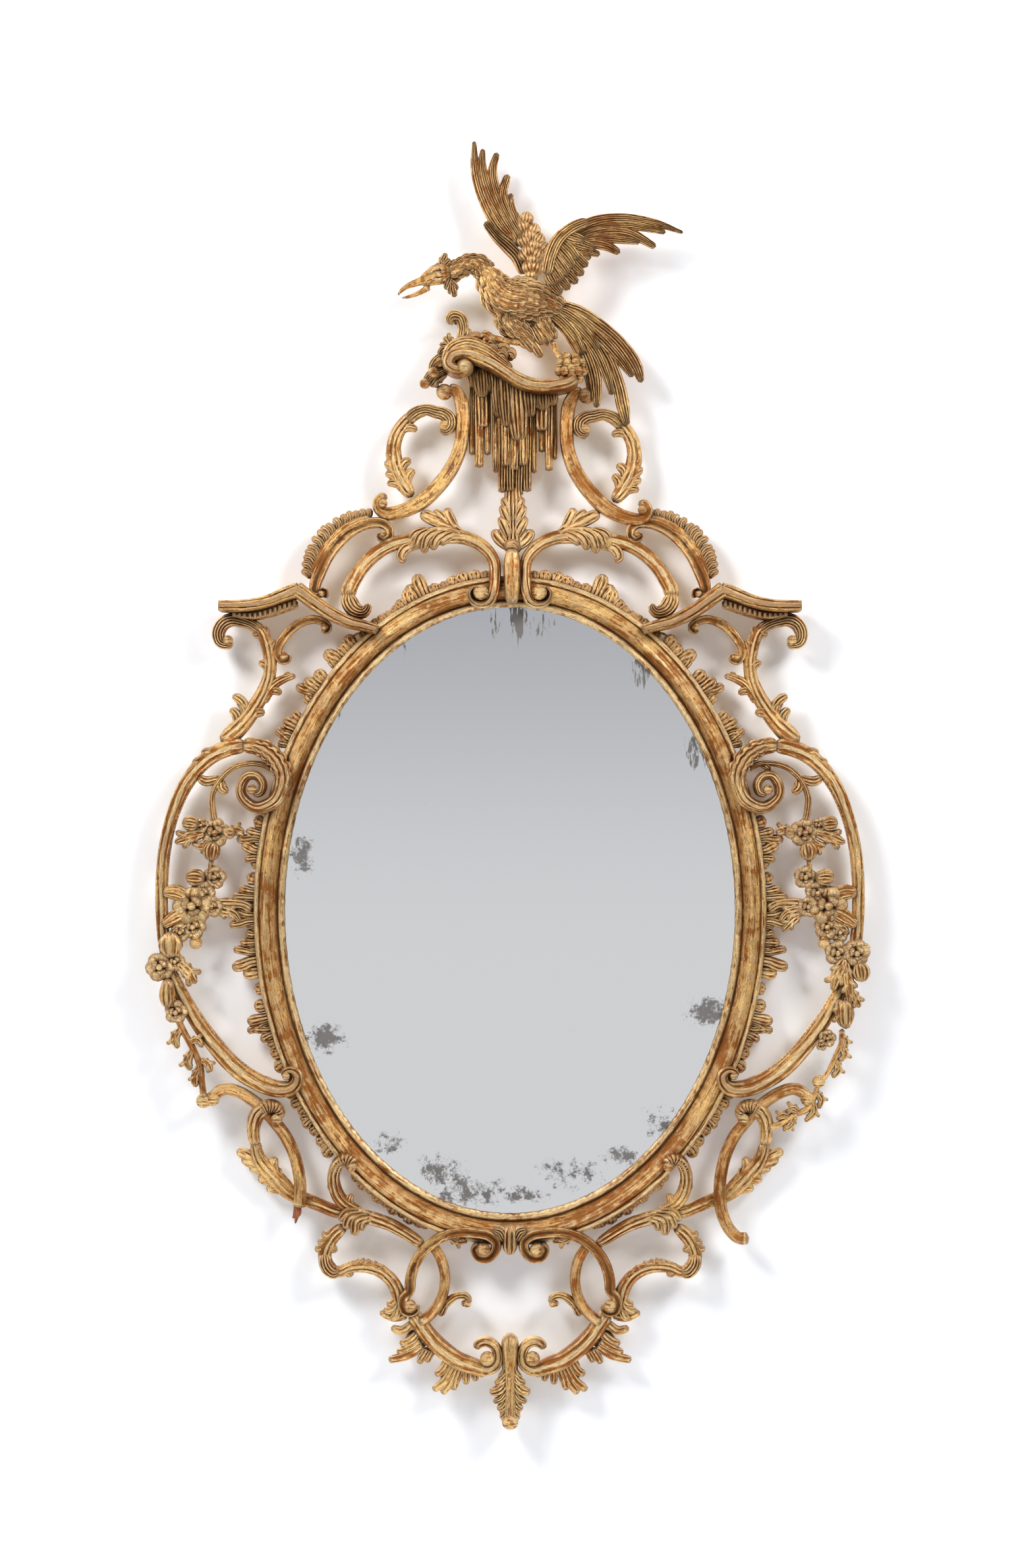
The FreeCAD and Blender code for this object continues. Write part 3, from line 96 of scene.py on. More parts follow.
@dataclass(frozen=True)
class Sheet:
    """The carver's sheet: thousandths of the oval's half axes, and millimetres forward of the wall."""

    half_width: float
    half_height: float
    centre: float

    @classmethod
    def of_frame(cls) -> "Sheet":
        """Reads the oval's half axes from the measured frame.

        Returns:
            The sheet in millimetres.
        """
        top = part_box("oval_moulding_top")[1].z
        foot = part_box("oval_moulding_bottom")[0].z
        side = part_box("oval_moulding_right")[1].x
        return cls(side * 1000, (top - foot) * 500, (top + foot) / 2)

    def spot(self, u: float, w: float) -> tuple[float, float]:
        """Turns a place in thousandths across and up into millimetres from the oval's centre."""
        return u * self.half_width / 1000, w * self.half_height / 1000

    def knots(self, table: Table, front: float) -> Array:
        """Turns a table of places into knots of a line.

        Args:
            table: rows of place across, place up, half width and, if it differs, the front.
            front: front of the rows that give none.

        Returns:
            Rows of x, z, half width and front in millimetres.
        """
        rows = []
        for row in table:
            x, z = self.spot(row[0], row[1])
            rows.append((x, z, row[2], row[3] if len(row) > 3 else front))
        return np.array(rows, float)

    def stand(self, bm: bmesh.types.BMesh) -> None:
        """Moves a carving from the sheet, in millimetres, to its place on the wall, in metres."""
        place = Matrix.Translation((0, 0, self.centre)) @ Matrix.Scale(0.001, 4)
        bmesh.ops.transform(bm, matrix=place, verts=bm.verts)


def smooth_line(knots: Array, count: int = 420) -> Array:
    """Runs a smooth line through knots and spreads its stations evenly.

    Args:
        knots: rows that begin with x and z.
        count: number of stations.

    Returns:
        The stations, with every column of the knots.
    """
    steps = np.maximum(np.linalg.norm(np.diff(knots[:, :2], axis=0), axis=1), 1e-3) ** 0.5
    at = np.concatenate(([0.0], np.cumsum(steps)))
    slopes = np.gradient(knots, at, axis=0)
    fine = np.linspace(0, at[-1], count * 3)
    i = np.clip(np.searchsorted(at, fine, side="right") - 1, 0, len(at) - 2)
    span = (at[i + 1] - at[i])[:, None]
    q = (fine - at[i])[:, None] / span
    line = (2 * q**3 - 3 * q**2 + 1) * knots[i] + (q**3 - 2 * q**2 + q) * span * slopes[i]
    line += (3 * q**2 - 2 * q**3) * knots[i + 1] + (q**3 - q**2) * span * slopes[i + 1]
    run = np.concatenate(([0.0], np.cumsum(np.linalg.norm(np.diff(line[:, :2], axis=0), axis=1))))
    even = np.linspace(0, run[-1], count)
    return np.column_stack([np.interp(even, run, column) for column in line.T])


def line_length(line: Array) -> float:
    """Measures the length of a line on the sheet in millimetres."""
    return float(np.linalg.norm(np.diff(line[:, :2], axis=0), axis=1).sum())


def drawn_layers(bm: bmesh.types.BMesh) -> list[bmesh.types.BMLayerItem]:
    """Finds or adds the layers of the run along a carving and the place across it."""
    layers = bm.verts.layers.float
    return [layers.get(name) or layers.new(name) for name in ("run", "side")]


def lay_skin(
    bm: bmesh.types.BMesh, rows: int, columns: int, place: Callable[[Array, Array], Array]
) -> None:
    """Lays a grid over a shape and closes its seam and its ends.

    Args:
        bm: carving that takes the skin.
        rows: steps along.
        columns: steps round.
        place: gives the places for shares along and round, then the run along and the place across.
    """
    run, side = drawn_layers(bm)
    made = bmesh.ops.create_grid(bm, x_segments=rows, y_segments=columns, size=0.5)["verts"]
    flat = np.array([vert.co[:2] for vert in made]) + 0.5
    for vert, spot in zip(made, place(flat[:, 0], flat[:, 1]).tolist()):
        vert.co = spot[:3]
        vert[run] = spot[3]
        vert[side] = spot[4]
    bmesh.ops.remove_doubles(bm, verts=made, dist=SEAM)


def rounded(value: Array) -> Array:
    """Gives the height of a row of round ridges with sharp valleys, one for each whole number."""
    return np.abs(np.sin(np.pi * value))


@dataclass(frozen=True)
class Cut:
    """How the face of a carved member is worked; depths are shares of its thickness."""

    square: float = 0.8
    channel: float = 0.0
    reeds: float = 0.0
    reed_depth: float = 0.0
    ribs: float = 0.0
    rib_depth: float = 0.0
    rake: float = 0.0
    lobe_depth: float = 0.0
    lobe_pitch: float = 0.0
    scales: float = 0.0
    scale_depth: float = 0.0
    ridge: float = 0.0
    end: float = 1.0
    columns: int = 30
    pitch: float = 2.2

    def section(self, s: Array, turn: Array, length: float) -> tuple[Array, Array]:
        """Shapes the section of a member.

        Args:
            s: shares along the member.
            turn: angles round the section, the face from nought to half a turn.
            length: length of the member in millimetres.

        Returns:
            Places across, from minus one to one, and lifts from the back at nought to the face at one.
        """
        c, n = np.cos(turn), np.sin(turn)
        across = np.sign(c) * np.abs(c) ** self.square
        lift = 0.5 + 0.5 * np.sign(n) * np.abs(n) ** self.square
        face = np.clip(n, 0, 1) ** 0.5
        if self.channel:
            lift = lift - face * self.channel * np.clip(np.cos(across * np.pi / 1.5), 0, 1)
        if self.ridge:
            lift = lift + face * self.ridge * (np.exp(-((across / 0.16) ** 2)) - 0.5)
        if self.reeds:
            fan = across * self.reeds / 2 + 0.5 + 0.12 * np.sin(s * length / 17)
            lift = lift + face * self.reed_depth * (rounded(fan) - 0.7)
        if self.ribs:
            phase = s * length / self.ribs - self.rake * np.abs(across) ** 1.3
            lift = lift + face * self.rib_depth * (rounded(phase) - 0.7)
        if self.scales:
            row = s * length / self.scales
            odd = np.floor(row) % 2
            cell = across * 2.6 + 0.5 * odd
            scale = 1 - (2 * (cell - np.floor(cell)) - 1) ** 2 * (0.35 + 0.65 * (row % 1))
            lift = lift + face * self.scale_depth * (scale * (0.35 + 0.65 * (row % 1)) - 0.5)
        if self.lobe_depth:
            saw = (s * length / self.lobe_pitch + 0.18 * np.sign(c)) % 1.0
            lobe = np.sin(np.pi * np.clip(saw / 0.78, 0, 1)) ** 0.6
            across = across * (1 + self.lobe_depth * (lobe - 0.55))
        return across, lift


# Ways of working a face, for bands, leaves, petals, feathers, rockwork and wood
PLAIN = Cut(square=0.85)
HOLLOW = Cut(channel=0.22, square=0.7)
DOUBLE = Cut(square=0.66, reeds=2.0, reed_depth=0.12, columns=36)
REEDED = Cut(reeds=3.0, reed_depth=0.12, columns=40)
ACANTHUS = Cut(
    square=0.75, reeds=4.0, reed_depth=0.15, lobe_depth=0.22, lobe_pitch=11.0, columns=44, pitch=1.3,
)
CURL = Cut(reeds=5.0, reed_depth=0.12, square=0.8, columns=52, pitch=1.6)
TONGUE = Cut(channel=0.16, reeds=3.0, reed_depth=0.12, square=0.8, columns=30, pitch=1.5)
SHELL = Cut(reeds=3.0, reed_depth=0.15, square=0.75, columns=28, pitch=1.8)
PETAL = Cut(reeds=3.0, reed_depth=0.09, square=1.0, columns=20, pitch=2.0)
FEATHER = Cut(ridge=0.12, reeds=5.0, reed_depth=0.3, square=0.75, columns=46, pitch=2.2)
PLUMAGE = Cut(square=1.0, scales=9.0, scale_depth=0.05, columns=44, pitch=1.6)
FEATHERLET = Cut(ridge=0.16, reeds=3.0, reed_depth=0.22, columns=24, pitch=2.2)
BARK = Cut(square=0.5, reeds=3.0, reed_depth=0.15, end=0.35, columns=40, pitch=2.4)
ROLLED = Cut(square=0.9, ribs=3.6, rib_depth=0.08, rake=0.4, columns=36, pitch=0.8)
LOBE = Cut(channel=0.12, reeds=2.0, reed_depth=0.12, square=0.85, columns=26, pitch=1.5)
STRIATED = Cut(reeds=5.0, reed_depth=0.1, square=0.7, end=0.8, columns=48, pitch=1.8)
COVERT = Cut(ridge=0.1, reeds=3.0, reed_depth=0.18, columns=36, pitch=1.4)
DOWN = Cut(square=1.0, reeds=4.0, reed_depth=0.07, columns=44, pitch=1.2)
SHANK = Cut(square=1.0, ribs=4.0, rib_depth=0.1)
BROKEN = Cut(reeds=3.0, reed_depth=0.2, end=0.4, pitch=1.5)
ROOF = Cut(square=0.5, reeds=2.0, reed_depth=0.07, end=0.25, columns=48, pitch=1.8)


def carve(bm: bmesh.types.BMesh, knots: Array, back: float | None, cut: Cut) -> Array:
    """Carves one member along a line.

    Args:
        bm: carving that takes the member.
        knots: rows of x, z, half width and front in millimetres.
        back: its back in millimetres from the wall, or None for a round limb about the front as its middle.
        cut: how its face is worked.

    Returns:
        The stations of its line.
    """
    line = smooth_line(knots)
    length = line_length(line)
    share = np.linspace(0, 1, len(line))
    along = np.gradient(line[:, :2], axis=0)
    along /= np.maximum(np.linalg.norm(along, axis=1), 1e-9)[:, None]

    def place(s: Array, q: Array) -> Array:
        """Places the skin's points.

        Args:
            s: shares along the member.
            q: shares round it.

        Returns:
            The points on the sheet.
        """
        behind = (q - FACE_SHARE) / (1 - FACE_SHARE)
        turn = np.pi * np.where(q < FACE_SHARE, q / FACE_SHARE, 1 + behind)
        across, lift = cut.section(s, turn, length)
        x, z, half, front = (np.interp(s, share, line[:, k]) for k in range(4))
        tx, tz = (np.interp(s, share, along[:, k]) for k in range(2))
        norm = np.maximum(np.hypot(tx, tz), 1e-6)
        reach = np.maximum(half * cut.end, 0.3) / max(length, 1e-6)
        edge = np.clip(np.minimum(s, 1 - s) / reach, 0, 1)
        size = np.sqrt(np.clip(1 - (1 - edge) ** 2, 0, 1))
        if back is None:
            depth = front + (lift - 0.5) * 2 * half * size
        else:
            depth = back + (front - back) * (0.5 + (lift - 0.5) * size)
        side = across * half * size
        return np.column_stack(
            (x - tz / norm * side, -depth, z + tx / norm * side, s * length, across * half)
        )

    rows = int(np.clip(length / cut.pitch, *STEPS))
    lay_skin(bm, rows, cut.columns, place)
    return line


def ball(
    bm: bmesh.types.BMesh, spot: tuple[float, float], radius: float, front: float, flat: float = 0.85,
) -> None:
    """Carves a round eye or knob.

    Args:
        bm: carving that takes it.
        spot: its middle across and up, in millimetres.
        radius: its radius in millimetres.
        front: its front in millimetres from the wall.
        flat: its depth as a share of its height.
    """
    place = Matrix.Translation((spot[0], -(front - radius * flat), spot[1]))
    shape = Matrix.Diagonal((1, flat, 1, 1))
    made = bmesh.ops.create_uvsphere(
        bm, u_segments=40, v_segments=24, radius=radius, matrix=place @ shape,
    )["verts"]
    run, side = drawn_layers(bm)
    for vert in made:
        vert[run] = 3 * (vert.co.x - spot[0])
        vert[side] = vert.co.z - spot[1]


@dataclass(frozen=True)
class Spray:
    """A carved band, its eyes, and the tongues that grow from it."""

    table: Table
    cut: Cut = PLAIN
    front: float = 38.0
    back: float = 16.0
    tips: Table = ()
    growth: float = 1.0
    reach: float = 15.0
    tongue: Cut = TONGUE
    eyes: Table = ()

    def carve(self, bm: bmesh.types.BMesh, sheet: Sheet) -> None:
        """Carves the band, its tongues and its eyes.

        Args:
            bm: carving that takes them.
            sheet: the carver's sheet.
        """
        line = carve(bm, sheet.knots(self.table, self.front), self.back, self.cut)
        step = line_length(line) / (len(line) - 1)
        for tip in self.tips:
            x, z = sheet.spot(tip[0], tip[1])
            half = tip[2] if len(tip) > 2 else TIP_HALF
            near = int(np.argmin((line[:, 0] - x) ** 2 + (line[:, 1] - z) ** 2))
            root = int(np.clip(near - self.growth * self.reach / step, 0, len(line) - 1))
            rx, rz, _, front = line[root]
            ahead = line[min(root + 1, len(line) - 1)] - line[max(root - 1, 0)]
            push = self.growth * ahead[:2] / max(np.hypot(*ahead[:2]), 1e-6)
            away = math.hypot(x - rx, z - rz)
            mx = rx + (x - rx) * 0.5 + push[0] * away * 0.2
            mz = rz + (z - rz) * 0.5 + push[1] * away * 0.2
            knots = np.array(
                (
                    (rx, rz, half * 0.75, front - 3), (mx, mz, half * 1.05, front + 1),
                    (x, z, half * 0.8, front - 2),
                )
            )
            carve(bm, knots, max(self.back, front - TONGUE_DEPTH), self.tongue)
        for u, w, radius, front in self.eyes:
            ball(bm, sheet.spot(u, w), radius, front)


@dataclass(frozen=True)
class Blossom:
    """An open flower of two rings of petals round a heart."""

    u: float
    w: float
    radius: float
    front: float = 44.0
    petals: int = 5
    turn: float = 0.3

    def carve(self, bm: bmesh.types.BMesh, sheet: Sheet) -> None:
        """Carves the petals ring by ring and the heart.

        Args:
            bm: carving that takes them.
            sheet: the carver's sheet.
        """
        x, z = sheet.spot(self.u, self.w)
        for ring in range(2):
            size = self.radius * (1.22 - 0.55 * ring)
            base = self.front - self.radius * 0.45 + ring * self.radius * 0.4
            count = self.petals if ring == 0 else 3
            for k in range(count):
                angle = self.turn + ring * 0.5 + k * math.tau / count
                dx, dz = math.cos(angle), math.sin(angle)
                front = base + 1.8 * math.sin(k * 2.1 + ring)
                knots = np.array(
                    (
                        (x + dx * size * 0.1, z + dz * size * 0.1, size * 0.34, front - 2.0),
                        (x + dx * size * 0.6, z + dz * size * 0.6, size * 0.6, front + size * 0.06),
                        (
                            x + dx * size - dz * size * 0.1, z + dz * size + dx * size * 0.1, size * 0.52,
                            front + size * 0.04,
                        ),
                    )
                )
                carve(bm, knots, front - self.radius * 0.7, PETAL)
        ball(bm, (x, z), self.radius * 0.26, self.front + self.radius * 0.16, 0.9)


@dataclass(frozen=True)
class Leaf:
    """A pointed leaf with a rib, or a plain bud if it is short and round."""

    table: Table
    front: float = 42.0
    back: float = 30.0
    cut: Cut = TONGUE

    def carve(self, bm: bmesh.types.BMesh, sheet: Sheet) -> None:
        """Carves the leaf, with two pairs of side lobes if it is cut as a tongue.

        Args:
            bm: carving that takes it.
            sheet: the carver's sheet.
        """
        line = carve(bm, sheet.knots(self.table, self.front), self.back, self.cut)
        if self.cut is not TONGUE:
            return
        for share, hand in ((0.12, 1), (0.2, -1), (0.4, 1), (0.48, -1)):
            at = int(share * len(line))
            x, z, half, front = line[at]
            ahead = line[at + 6, :2] - line[at, :2]
            tx, tz = ahead / max(np.hypot(*ahead), 1e-6)
            out = np.array((-tz, tx)) * hand * half
            push = np.array((tx, tz)) * half
            knots = [(x, z, half * 0.5, front - 2)]
            for wide, along, size in ((0.8, 1.2, 0.55), (1.5, 1.9, 0.42)):
                spot = np.array((x, z)) + out * wide + push * along
                knots.append((spot[0], spot[1], half * size, front - wide))
            carve(bm, np.array(knots), self.back, PETAL)


@dataclass(frozen=True)
class Limb:
    """A round limb; its fronts are the depths of its middle line."""

    table: Table
    depth: float
    cut: Cut = PLAIN

    def carve(self, bm: bmesh.types.BMesh, sheet: Sheet) -> None:
        """Carves the limb."""
        carve(bm, sheet.knots(self.table, self.depth), None, self.cut)


@dataclass(frozen=True)
class Knob:
    """A round knob or eye."""

    u: float
    w: float
    radius: float
    front: float
    flat: float = 0.85

    def carve(self, bm: bmesh.types.BMesh, sheet: Sheet) -> None:
        """Carves the knob."""
        ball(bm, sheet.spot(self.u, self.w), self.radius, self.front, self.flat)


@dataclass(frozen=True)
class Beads:
    """A row of pearls beside a band."""

    table: Table
    radius: float
    gap: float
    front: float

    def carve(self, bm: bmesh.types.BMesh, sheet: Sheet) -> None:
        """Carves the pearls.

        Args:
            bm: carving that takes them.
            sheet: the carver's sheet.
        """
        rows = tuple((u, w, self.radius) for u, w in self.table)
        line = smooth_line(sheet.knots(rows, self.front))
        length = line_length(line)
        for share in np.linspace(0, 1, max(int(length / self.gap), 2)):
            x, z = (np.interp(share, np.linspace(0, 1, len(line)), line[:, k]) for k in range(2))
            place = Matrix.Translation((x, -(self.front - self.radius), z))
            bmesh.ops.create_icosphere(bm, subdivisions=1, radius=self.radius, matrix=place)


@dataclass(frozen=True)
class Plumage:
    """Short feathers laid in rows over the front of a limb."""

    table: Table
    gap: float = 8.0
    half: float = 4.8
    length: float = 18.0
    spread: float = 80.0

    def carve(self, bm: bmesh.types.BMesh, sheet: Sheet) -> None:
        """Carves the feathers row by row.

        Args:
            bm: carving that takes them.
            sheet: the carver's sheet.
        """
        line = smooth_line(sheet.knots(self.table, 0))
        last = len(line) - 1
        rows = max(int(line_length(line) / self.gap), 2)
        reach = int(self.length / line_length(line) * last)
        for row in range(rows):
            at = int(row / rows * last)
            count = max(int(line[at, 2] * math.pi / (self.half * 1.8)), 3)
            for k in range(count):
                turn = math.radians(self.spread * (2 * (k + 0.5 * (row % 2)) / (count - 0.5) - 1))
                knots = []
                for share, wide, rise in ((0, 0.6, -1.5), (0.55, 1.0, 1.4), (1, 0.65, 0.3)):
                    i = min(int(at + reach * share), last - 1)
                    x, z, radius, depth = line[i]
                    ahead = line[i + 1, :2] - line[i, :2]
                    tx, tz = ahead / max(np.hypot(*ahead), 1e-6)
                    off = math.sin(turn) * (radius + rise)
                    knots.append(
                        (
                            x - tz * off, z + tx * off, self.half * wide,
                            depth + math.cos(turn) * (radius + rise),
                        )
                    )
                carve(bm, np.array(knots), min(knot[3] for knot in knots) - 5, FEATHERLET)


Member = Spray | Blossom | Leaf | Limb | Knob | Beads | Plumage


class Lean(Enum):
    """How a left-hand carving is turned over from the right-hand one."""

    NONE = "as drawn"
    OVAL = "about the oval's upright axis"
    CREST = "about the crest's leaning axis"


# The crest leans a little to the right: its slope, and the place up where the lean begins
CREST_SLOPE = 0.0253
CREST_FOOT = 900.0


@dataclass(frozen=True)
class Carving:
    """One node's carving: its members, and how it is turned over."""

    node: str
    members: tuple[Member, ...]
    lean: Lean = Lean.NONE

    def build(self, sheet: Sheet) -> bmesh.types.BMesh:
        """Carves every member and stands the carving in its place.

        Args:
            sheet: the carver's sheet.

        Returns:
            The carving in metres.
        """
        bm = bmesh.new()
        for member in self.members:
            member.carve(bm, sheet)
        if self.lean is Lean.OVAL:
            bmesh.ops.transform(bm, matrix=TURN_OVER, verts=bm.verts)
        if self.lean is Lean.CREST:
            foot = Vector((0, 0, sheet.spot(0, CREST_FOOT)[1]))
            axis = Vector((CREST_SLOPE, 0, 1)).normalized()
            across = Vector((axis.z, 0, -axis.x))
            flip = Matrix.Scale(-1, 4, across)
            bmesh.ops.transform(
                bm, matrix=Matrix.Translation(foot) @ flip @ Matrix.Translation(-foot), verts=bm.verts
            )
        sheet.stand(bm)
        return bm


def both(name: str, members: tuple[Member, ...], lean: Lean = Lean.OVAL) -> list[Carving]:
    """Pairs a right-hand carving with the left-hand one turned over about the given axis."""
    return [Carving(name + "_right", members), Carving(name + "_left", members, lean)]


# Lines of the carving on the sheet: place across, place up, half width and, if it differs, front
CREST_SCROLL = (
    (285, 1556, 5), (255, 1545, 7), (231, 1512, 8.5), (222, 1470, 8.5), (221, 1425, 8.5),
    (226, 1378, 8.5), (246, 1329, 9), (280, 1282, 9.3), (320, 1243, 9.5), (362, 1211, 9.5),
    (408, 1188, 9), (455, 1174, 8.5), (497, 1168, 8), (530, 1178, 6.5, 40), (539, 1200, 5.5, 42),
    (522, 1216, 5, 43), (499, 1212, 4, 43),
)
CREST_LOOP = (
    (305, 1435, 3), (290, 1424, 6), (272, 1436, 8), (275, 1460, 8.5), (300, 1474, 8), (330, 1478, 7.5),
    (362, 1483, 7), (400, 1474, 7.5), (440, 1448, 8), (472, 1412, 8.5), (485, 1370, 9), (479, 1325, 10),
    (458, 1282, 11), (428, 1246, 9), (402, 1222, 6),
)
SHOULDER_SCROLL = (
    (506, 1128, 3, 40), (510, 1116, 3.5, 40), (490, 1107, 4.5, 40), (469, 1118, 5, 39),
    (471, 1140, 5.6, 38), (492, 1156, 6.4), (525, 1160, 6.8), (572, 1153, 7), (625, 1133, 7.5),
    (672, 1101, 8), (712, 1060, 8), (740, 1016, 8), (758, 980, 7.5), (760, 958, 6, 38),
    (742, 952, 4.6, 40), (724, 956, 4, 40), (717, 945, 3.6, 40), (727, 936, 3.2, 40),
)
SHOULDER_TIPS = (
    (556, 1204), (583, 1203), (611, 1197), (638, 1195), (662, 1185), (692, 1174), (721, 1156),
    (741, 1148), (755, 1136), (776, 1115), (793, 1089), (803, 1075), (809, 1058), (815, 1038),
    (817, 1015),
)
ARCH_SCROLL = (
    (137, 968, 2.4, 52), (157, 947, 2.8, 53), (147, 922, 3.4, 54), (115, 911, 4.4, 54),
    (82, 919, 5.8, 54), (64, 950, 7, 52), (58, 1000, 7.2, 46), (66, 1050, 7.4, 40), (106, 1089, 7.8),
    (165, 1112, 8.2), (228, 1118, 8.5), (290, 1112, 8.5), (350, 1107, 8.5), (410, 1104, 8.5),
    (468, 1092, 8.5), (523, 1067, 8.5), (571, 1031, 8.5), (606, 992, 9), (628, 955, 9.5), (624, 930, 10),
)
ARCH_CURL = (
    (628, 950, 9), (626, 925, 10.5), (606, 900, 10, 46), (575, 891, 8, 50), (556, 903, 6, 50),
    (562, 916, 4, 49),
)
ARCH_WRAP = (
    ((180, 1110, 7, 38), (232, 1120, 10, 40), (300, 1118, 11, 42), (362, 1100, 9, 43), (392, 1078, 6, 41)),
    ((205, 1128, 5, 38), (250, 1112, 6.4, 43), (274, 1092, 4.8, 42)),
    ((232, 1134, 5, 38), (284, 1110, 6.4, 46), (304, 1076, 4.8, 45)),
    ((262, 1138, 5, 39), (318, 1112, 6.4, 49), (338, 1066, 4.8, 47)),
    ((290, 1138, 5, 39), (346, 1118, 6.4, 46), (371, 1079, 4.8, 44)),
    ((316, 1136, 5, 40), (366, 1124, 6.6, 44), (390, 1102, 4.6, 41)),
    ((376, 1090, 5, 40), (410, 1078, 6.4, 42), (424, 1056, 6, 42), (408, 1040, 4.6, 41)),
)
ARCH_BRANCH = (
    ((180, 1120, 5, 34), (240, 1150, 7.5, 37), (298, 1170, 8.4, 38), (350, 1188, 6.5, 37)),
    ((206, 1136, 4.5, 35), (232, 1168, 6.6, 38), (250, 1204, 5, 37)),
    ((232, 1150, 4, 36), (278, 1186, 5, 38), (300, 1192, 3.6, 37)),
)
EAVE_BRACKET = (
    (733, 842, 3.4), (722, 834, 4), (706, 846, 4.4), (732, 864, 5), (776, 870, 5.4), (827, 856, 5.6),
    (869, 828, 5.6), (901, 791, 5.6), (905, 762, 5), (886, 745, 4.6), (864, 752, 4.2), (868, 766, 3.6),
)
LEAF_STEM = (
    (1085, 808, 4), (1100, 795, 6), (1128, 802, 7), (1136, 828, 8), (1120, 855, 8.5), (1086, 869, 8.5),
    (1045, 865, 7.5), (1005, 854, 7), (973, 836, 7.4), (953, 808, 7.8), (940, 770, 8), (935, 735, 8),
    (940, 698, 8), (957, 662, 8.6), (980, 628, 9), (1010, 592, 10), (1047, 556, 11), (1088, 525, 11),
    (1130, 506, 8),
)
STEM_BRANCH = ((835, 703, 3.5), (878, 694, 5), (916, 678, 6), (952, 645, 7), (975, 618, 6))
SIDE_HOOK = (
    (999, 349, 4, 54), (972, 352, 4.8, 54), (962, 378, 5.4, 54), (984, 402, 5.8, 53), (1018, 403, 6, 51),
    (1042, 380, 6.2, 50), (1046, 350, 6.5, 49), (1022, 323, 7, 50), (985, 308, 7.6, 52),
    (945, 314, 8.4, 54), (908, 333, 9.4, 55), (886, 366, 10.2, 55), (880, 402, 11, 55),
    (897, 436, 11, 53), (932, 466, 10.4, 48), (984, 489, 10, 43), (1045, 496, 10, 40),
)
SIDE_SCROLL = (
    (1030, 496, 9.5, 40), (1100, 485, 10), (1153, 468, 10), (1203, 438, 9.5), (1244, 400, 9),
    (1278, 357, 8.5), (1303, 313, 8), (1323, 266, 7.5), (1338, 217, 7.5), (1349, 167, 7.5),
    (1355, 117, 7.5), (1358, 66, 7.5), (1358, 16, 7.5), (1355, -34, 7.5), (1349, -85, 7.5),
    (1338, -135, 7.5), (1320, -185, 8), (1293, -232, 8.5), (1260, -280, 9), (1222, -327, 9.5),
    (1183, -370, 10), (1140, -412, 10.5), (1096, -450, 10.7), (1047, -483, 10.7), (995, -507, 10.7, 40),
    (940, -525, 10.5, 44), (896, -532, 10, 48), (856, -529, 9, 51), (830, -512, 8, 52),
    (826, -490, 7, 52), (845, -476, 6, 51), (872, -480, 5, 50), (880, -496, 4, 49),
)
SIDE_BEADS = (
    (1080, 468), (1140, 449), (1186, 420), (1225, 384), (1257, 344), (1281, 303), (1302, 256),
    (1318, 207), (1329, 160), (1335, 112), (1338, 64), (1338, 16), (1335, -34), (1329, -82), (1318, -130),
    (1299, -177), (1272, -222), (1238, -268), (1200, -313), (1160, -354), (1118, -394), (1074, -430),
    (1030, -460), (984, -483),
)
VINE = (
    (926, 420, 3), (962, 436, 3.5), (1015, 440, 3.5), (1067, 431, 3.5), (1107, 411, 3.5),
    (1140, 380, 3.5), (1160, 340, 3.8), (1158, 300, 4.2), (1150, 262, 4.5),
)
LOWER_ROD = (
    (1156, -560, 7), (1138, -541, 7.5), (1102, -532, 7.5), (1058, -541, 7.5), (1014, -560, 7.5),
    (977, -581, 7.5), (944, -606, 7.5), (913, -634, 7.5), (884, -662, 7.5), (859, -695, 7.5),
    (840, -729, 7.5), (826, -770, 7.5), (818, -812, 7.5), (817, -850, 7.5), (822, -888, 7.5),
    (836, -924, 7.5), (860, -957, 7.5), (892, -978, 7.5), (932, -977, 7.8),
)
# Knot where the left rod is broken off
BROKEN_AT = 15
LOWER_CROOK = (
    (912, -625, 4, 50), (893, -606, 5.6, 51), (905, -588, 7.2, 50), (940, -583, 8.8, 49),
    (978, -602, 9.4, 46), (998, -636, 9, 40), (1000, -672, 7.5, 34), (992, -705, 7, 30),
)
LOWER_LEAF = (
    (996, -690, 7, 30), (988, -732, 8, 28), (968, -762, 10, 26), (935, -790, 11, 25), (893, -824, 11, 23),
    (850, -852, 9.5, 21), (800, -868, 8.5, 21), (745, -884, 8, 24), (690, -900, 8, 28),
    (645, -908, 7, 30),
)
BASE_BRANCH = (
    (338, -1000, 6), (377, -979, 7), (422, -957, 7.5), (472, -937, 8), (522, -924, 8.5), (567, -914, 9.5),
)
BASE_DROOP = (
    ((515, -926, 7, 37), (570, -913, 9, 39), (612, -912, 8, 40)),
    ((528, -922, 5, 38), (570, -926, 6.4, 43), (581, -957, 5, 41)),
    ((545, -912, 5, 40), (596, -922, 6.6, 46), (606, -970, 5, 43)),
    ((560, -906, 5, 40), (622, -914, 6.6, 44), (641, -952, 5, 42)),
    ((580, -902, 5, 38), (636, -902, 6, 41), (664, -928, 4.6, 40)),
)
BASE_CROOK = (
    (575, -905, 6, 32), (620, -890, 8, 33), (662, -862, 8.5, 35), (683, -825, 8, 39),
    (686, -787, 7.5, 45), (670, -754, 7.5, 50), (637, -738, 8, 52), (612, -748, 7.5, 52),
    (612, -765, 5, 50),
)
BASE_ROCAILLE = (
    (640, -945, 6), (676, -962, 8.5), (706, -990, 9), (722, -1025, 8.5), (716, -1056, 8),
    (692, -1076, 7.5), (660, -1079, 7), (630, -1068, 7), (590, -1063, 7.5), (545, -1066, 8),
    (503, -1079, 8), (468, -1101, 8), (445, -1128, 8.5), (432, -1156, 9), (425, -1185, 9),
)
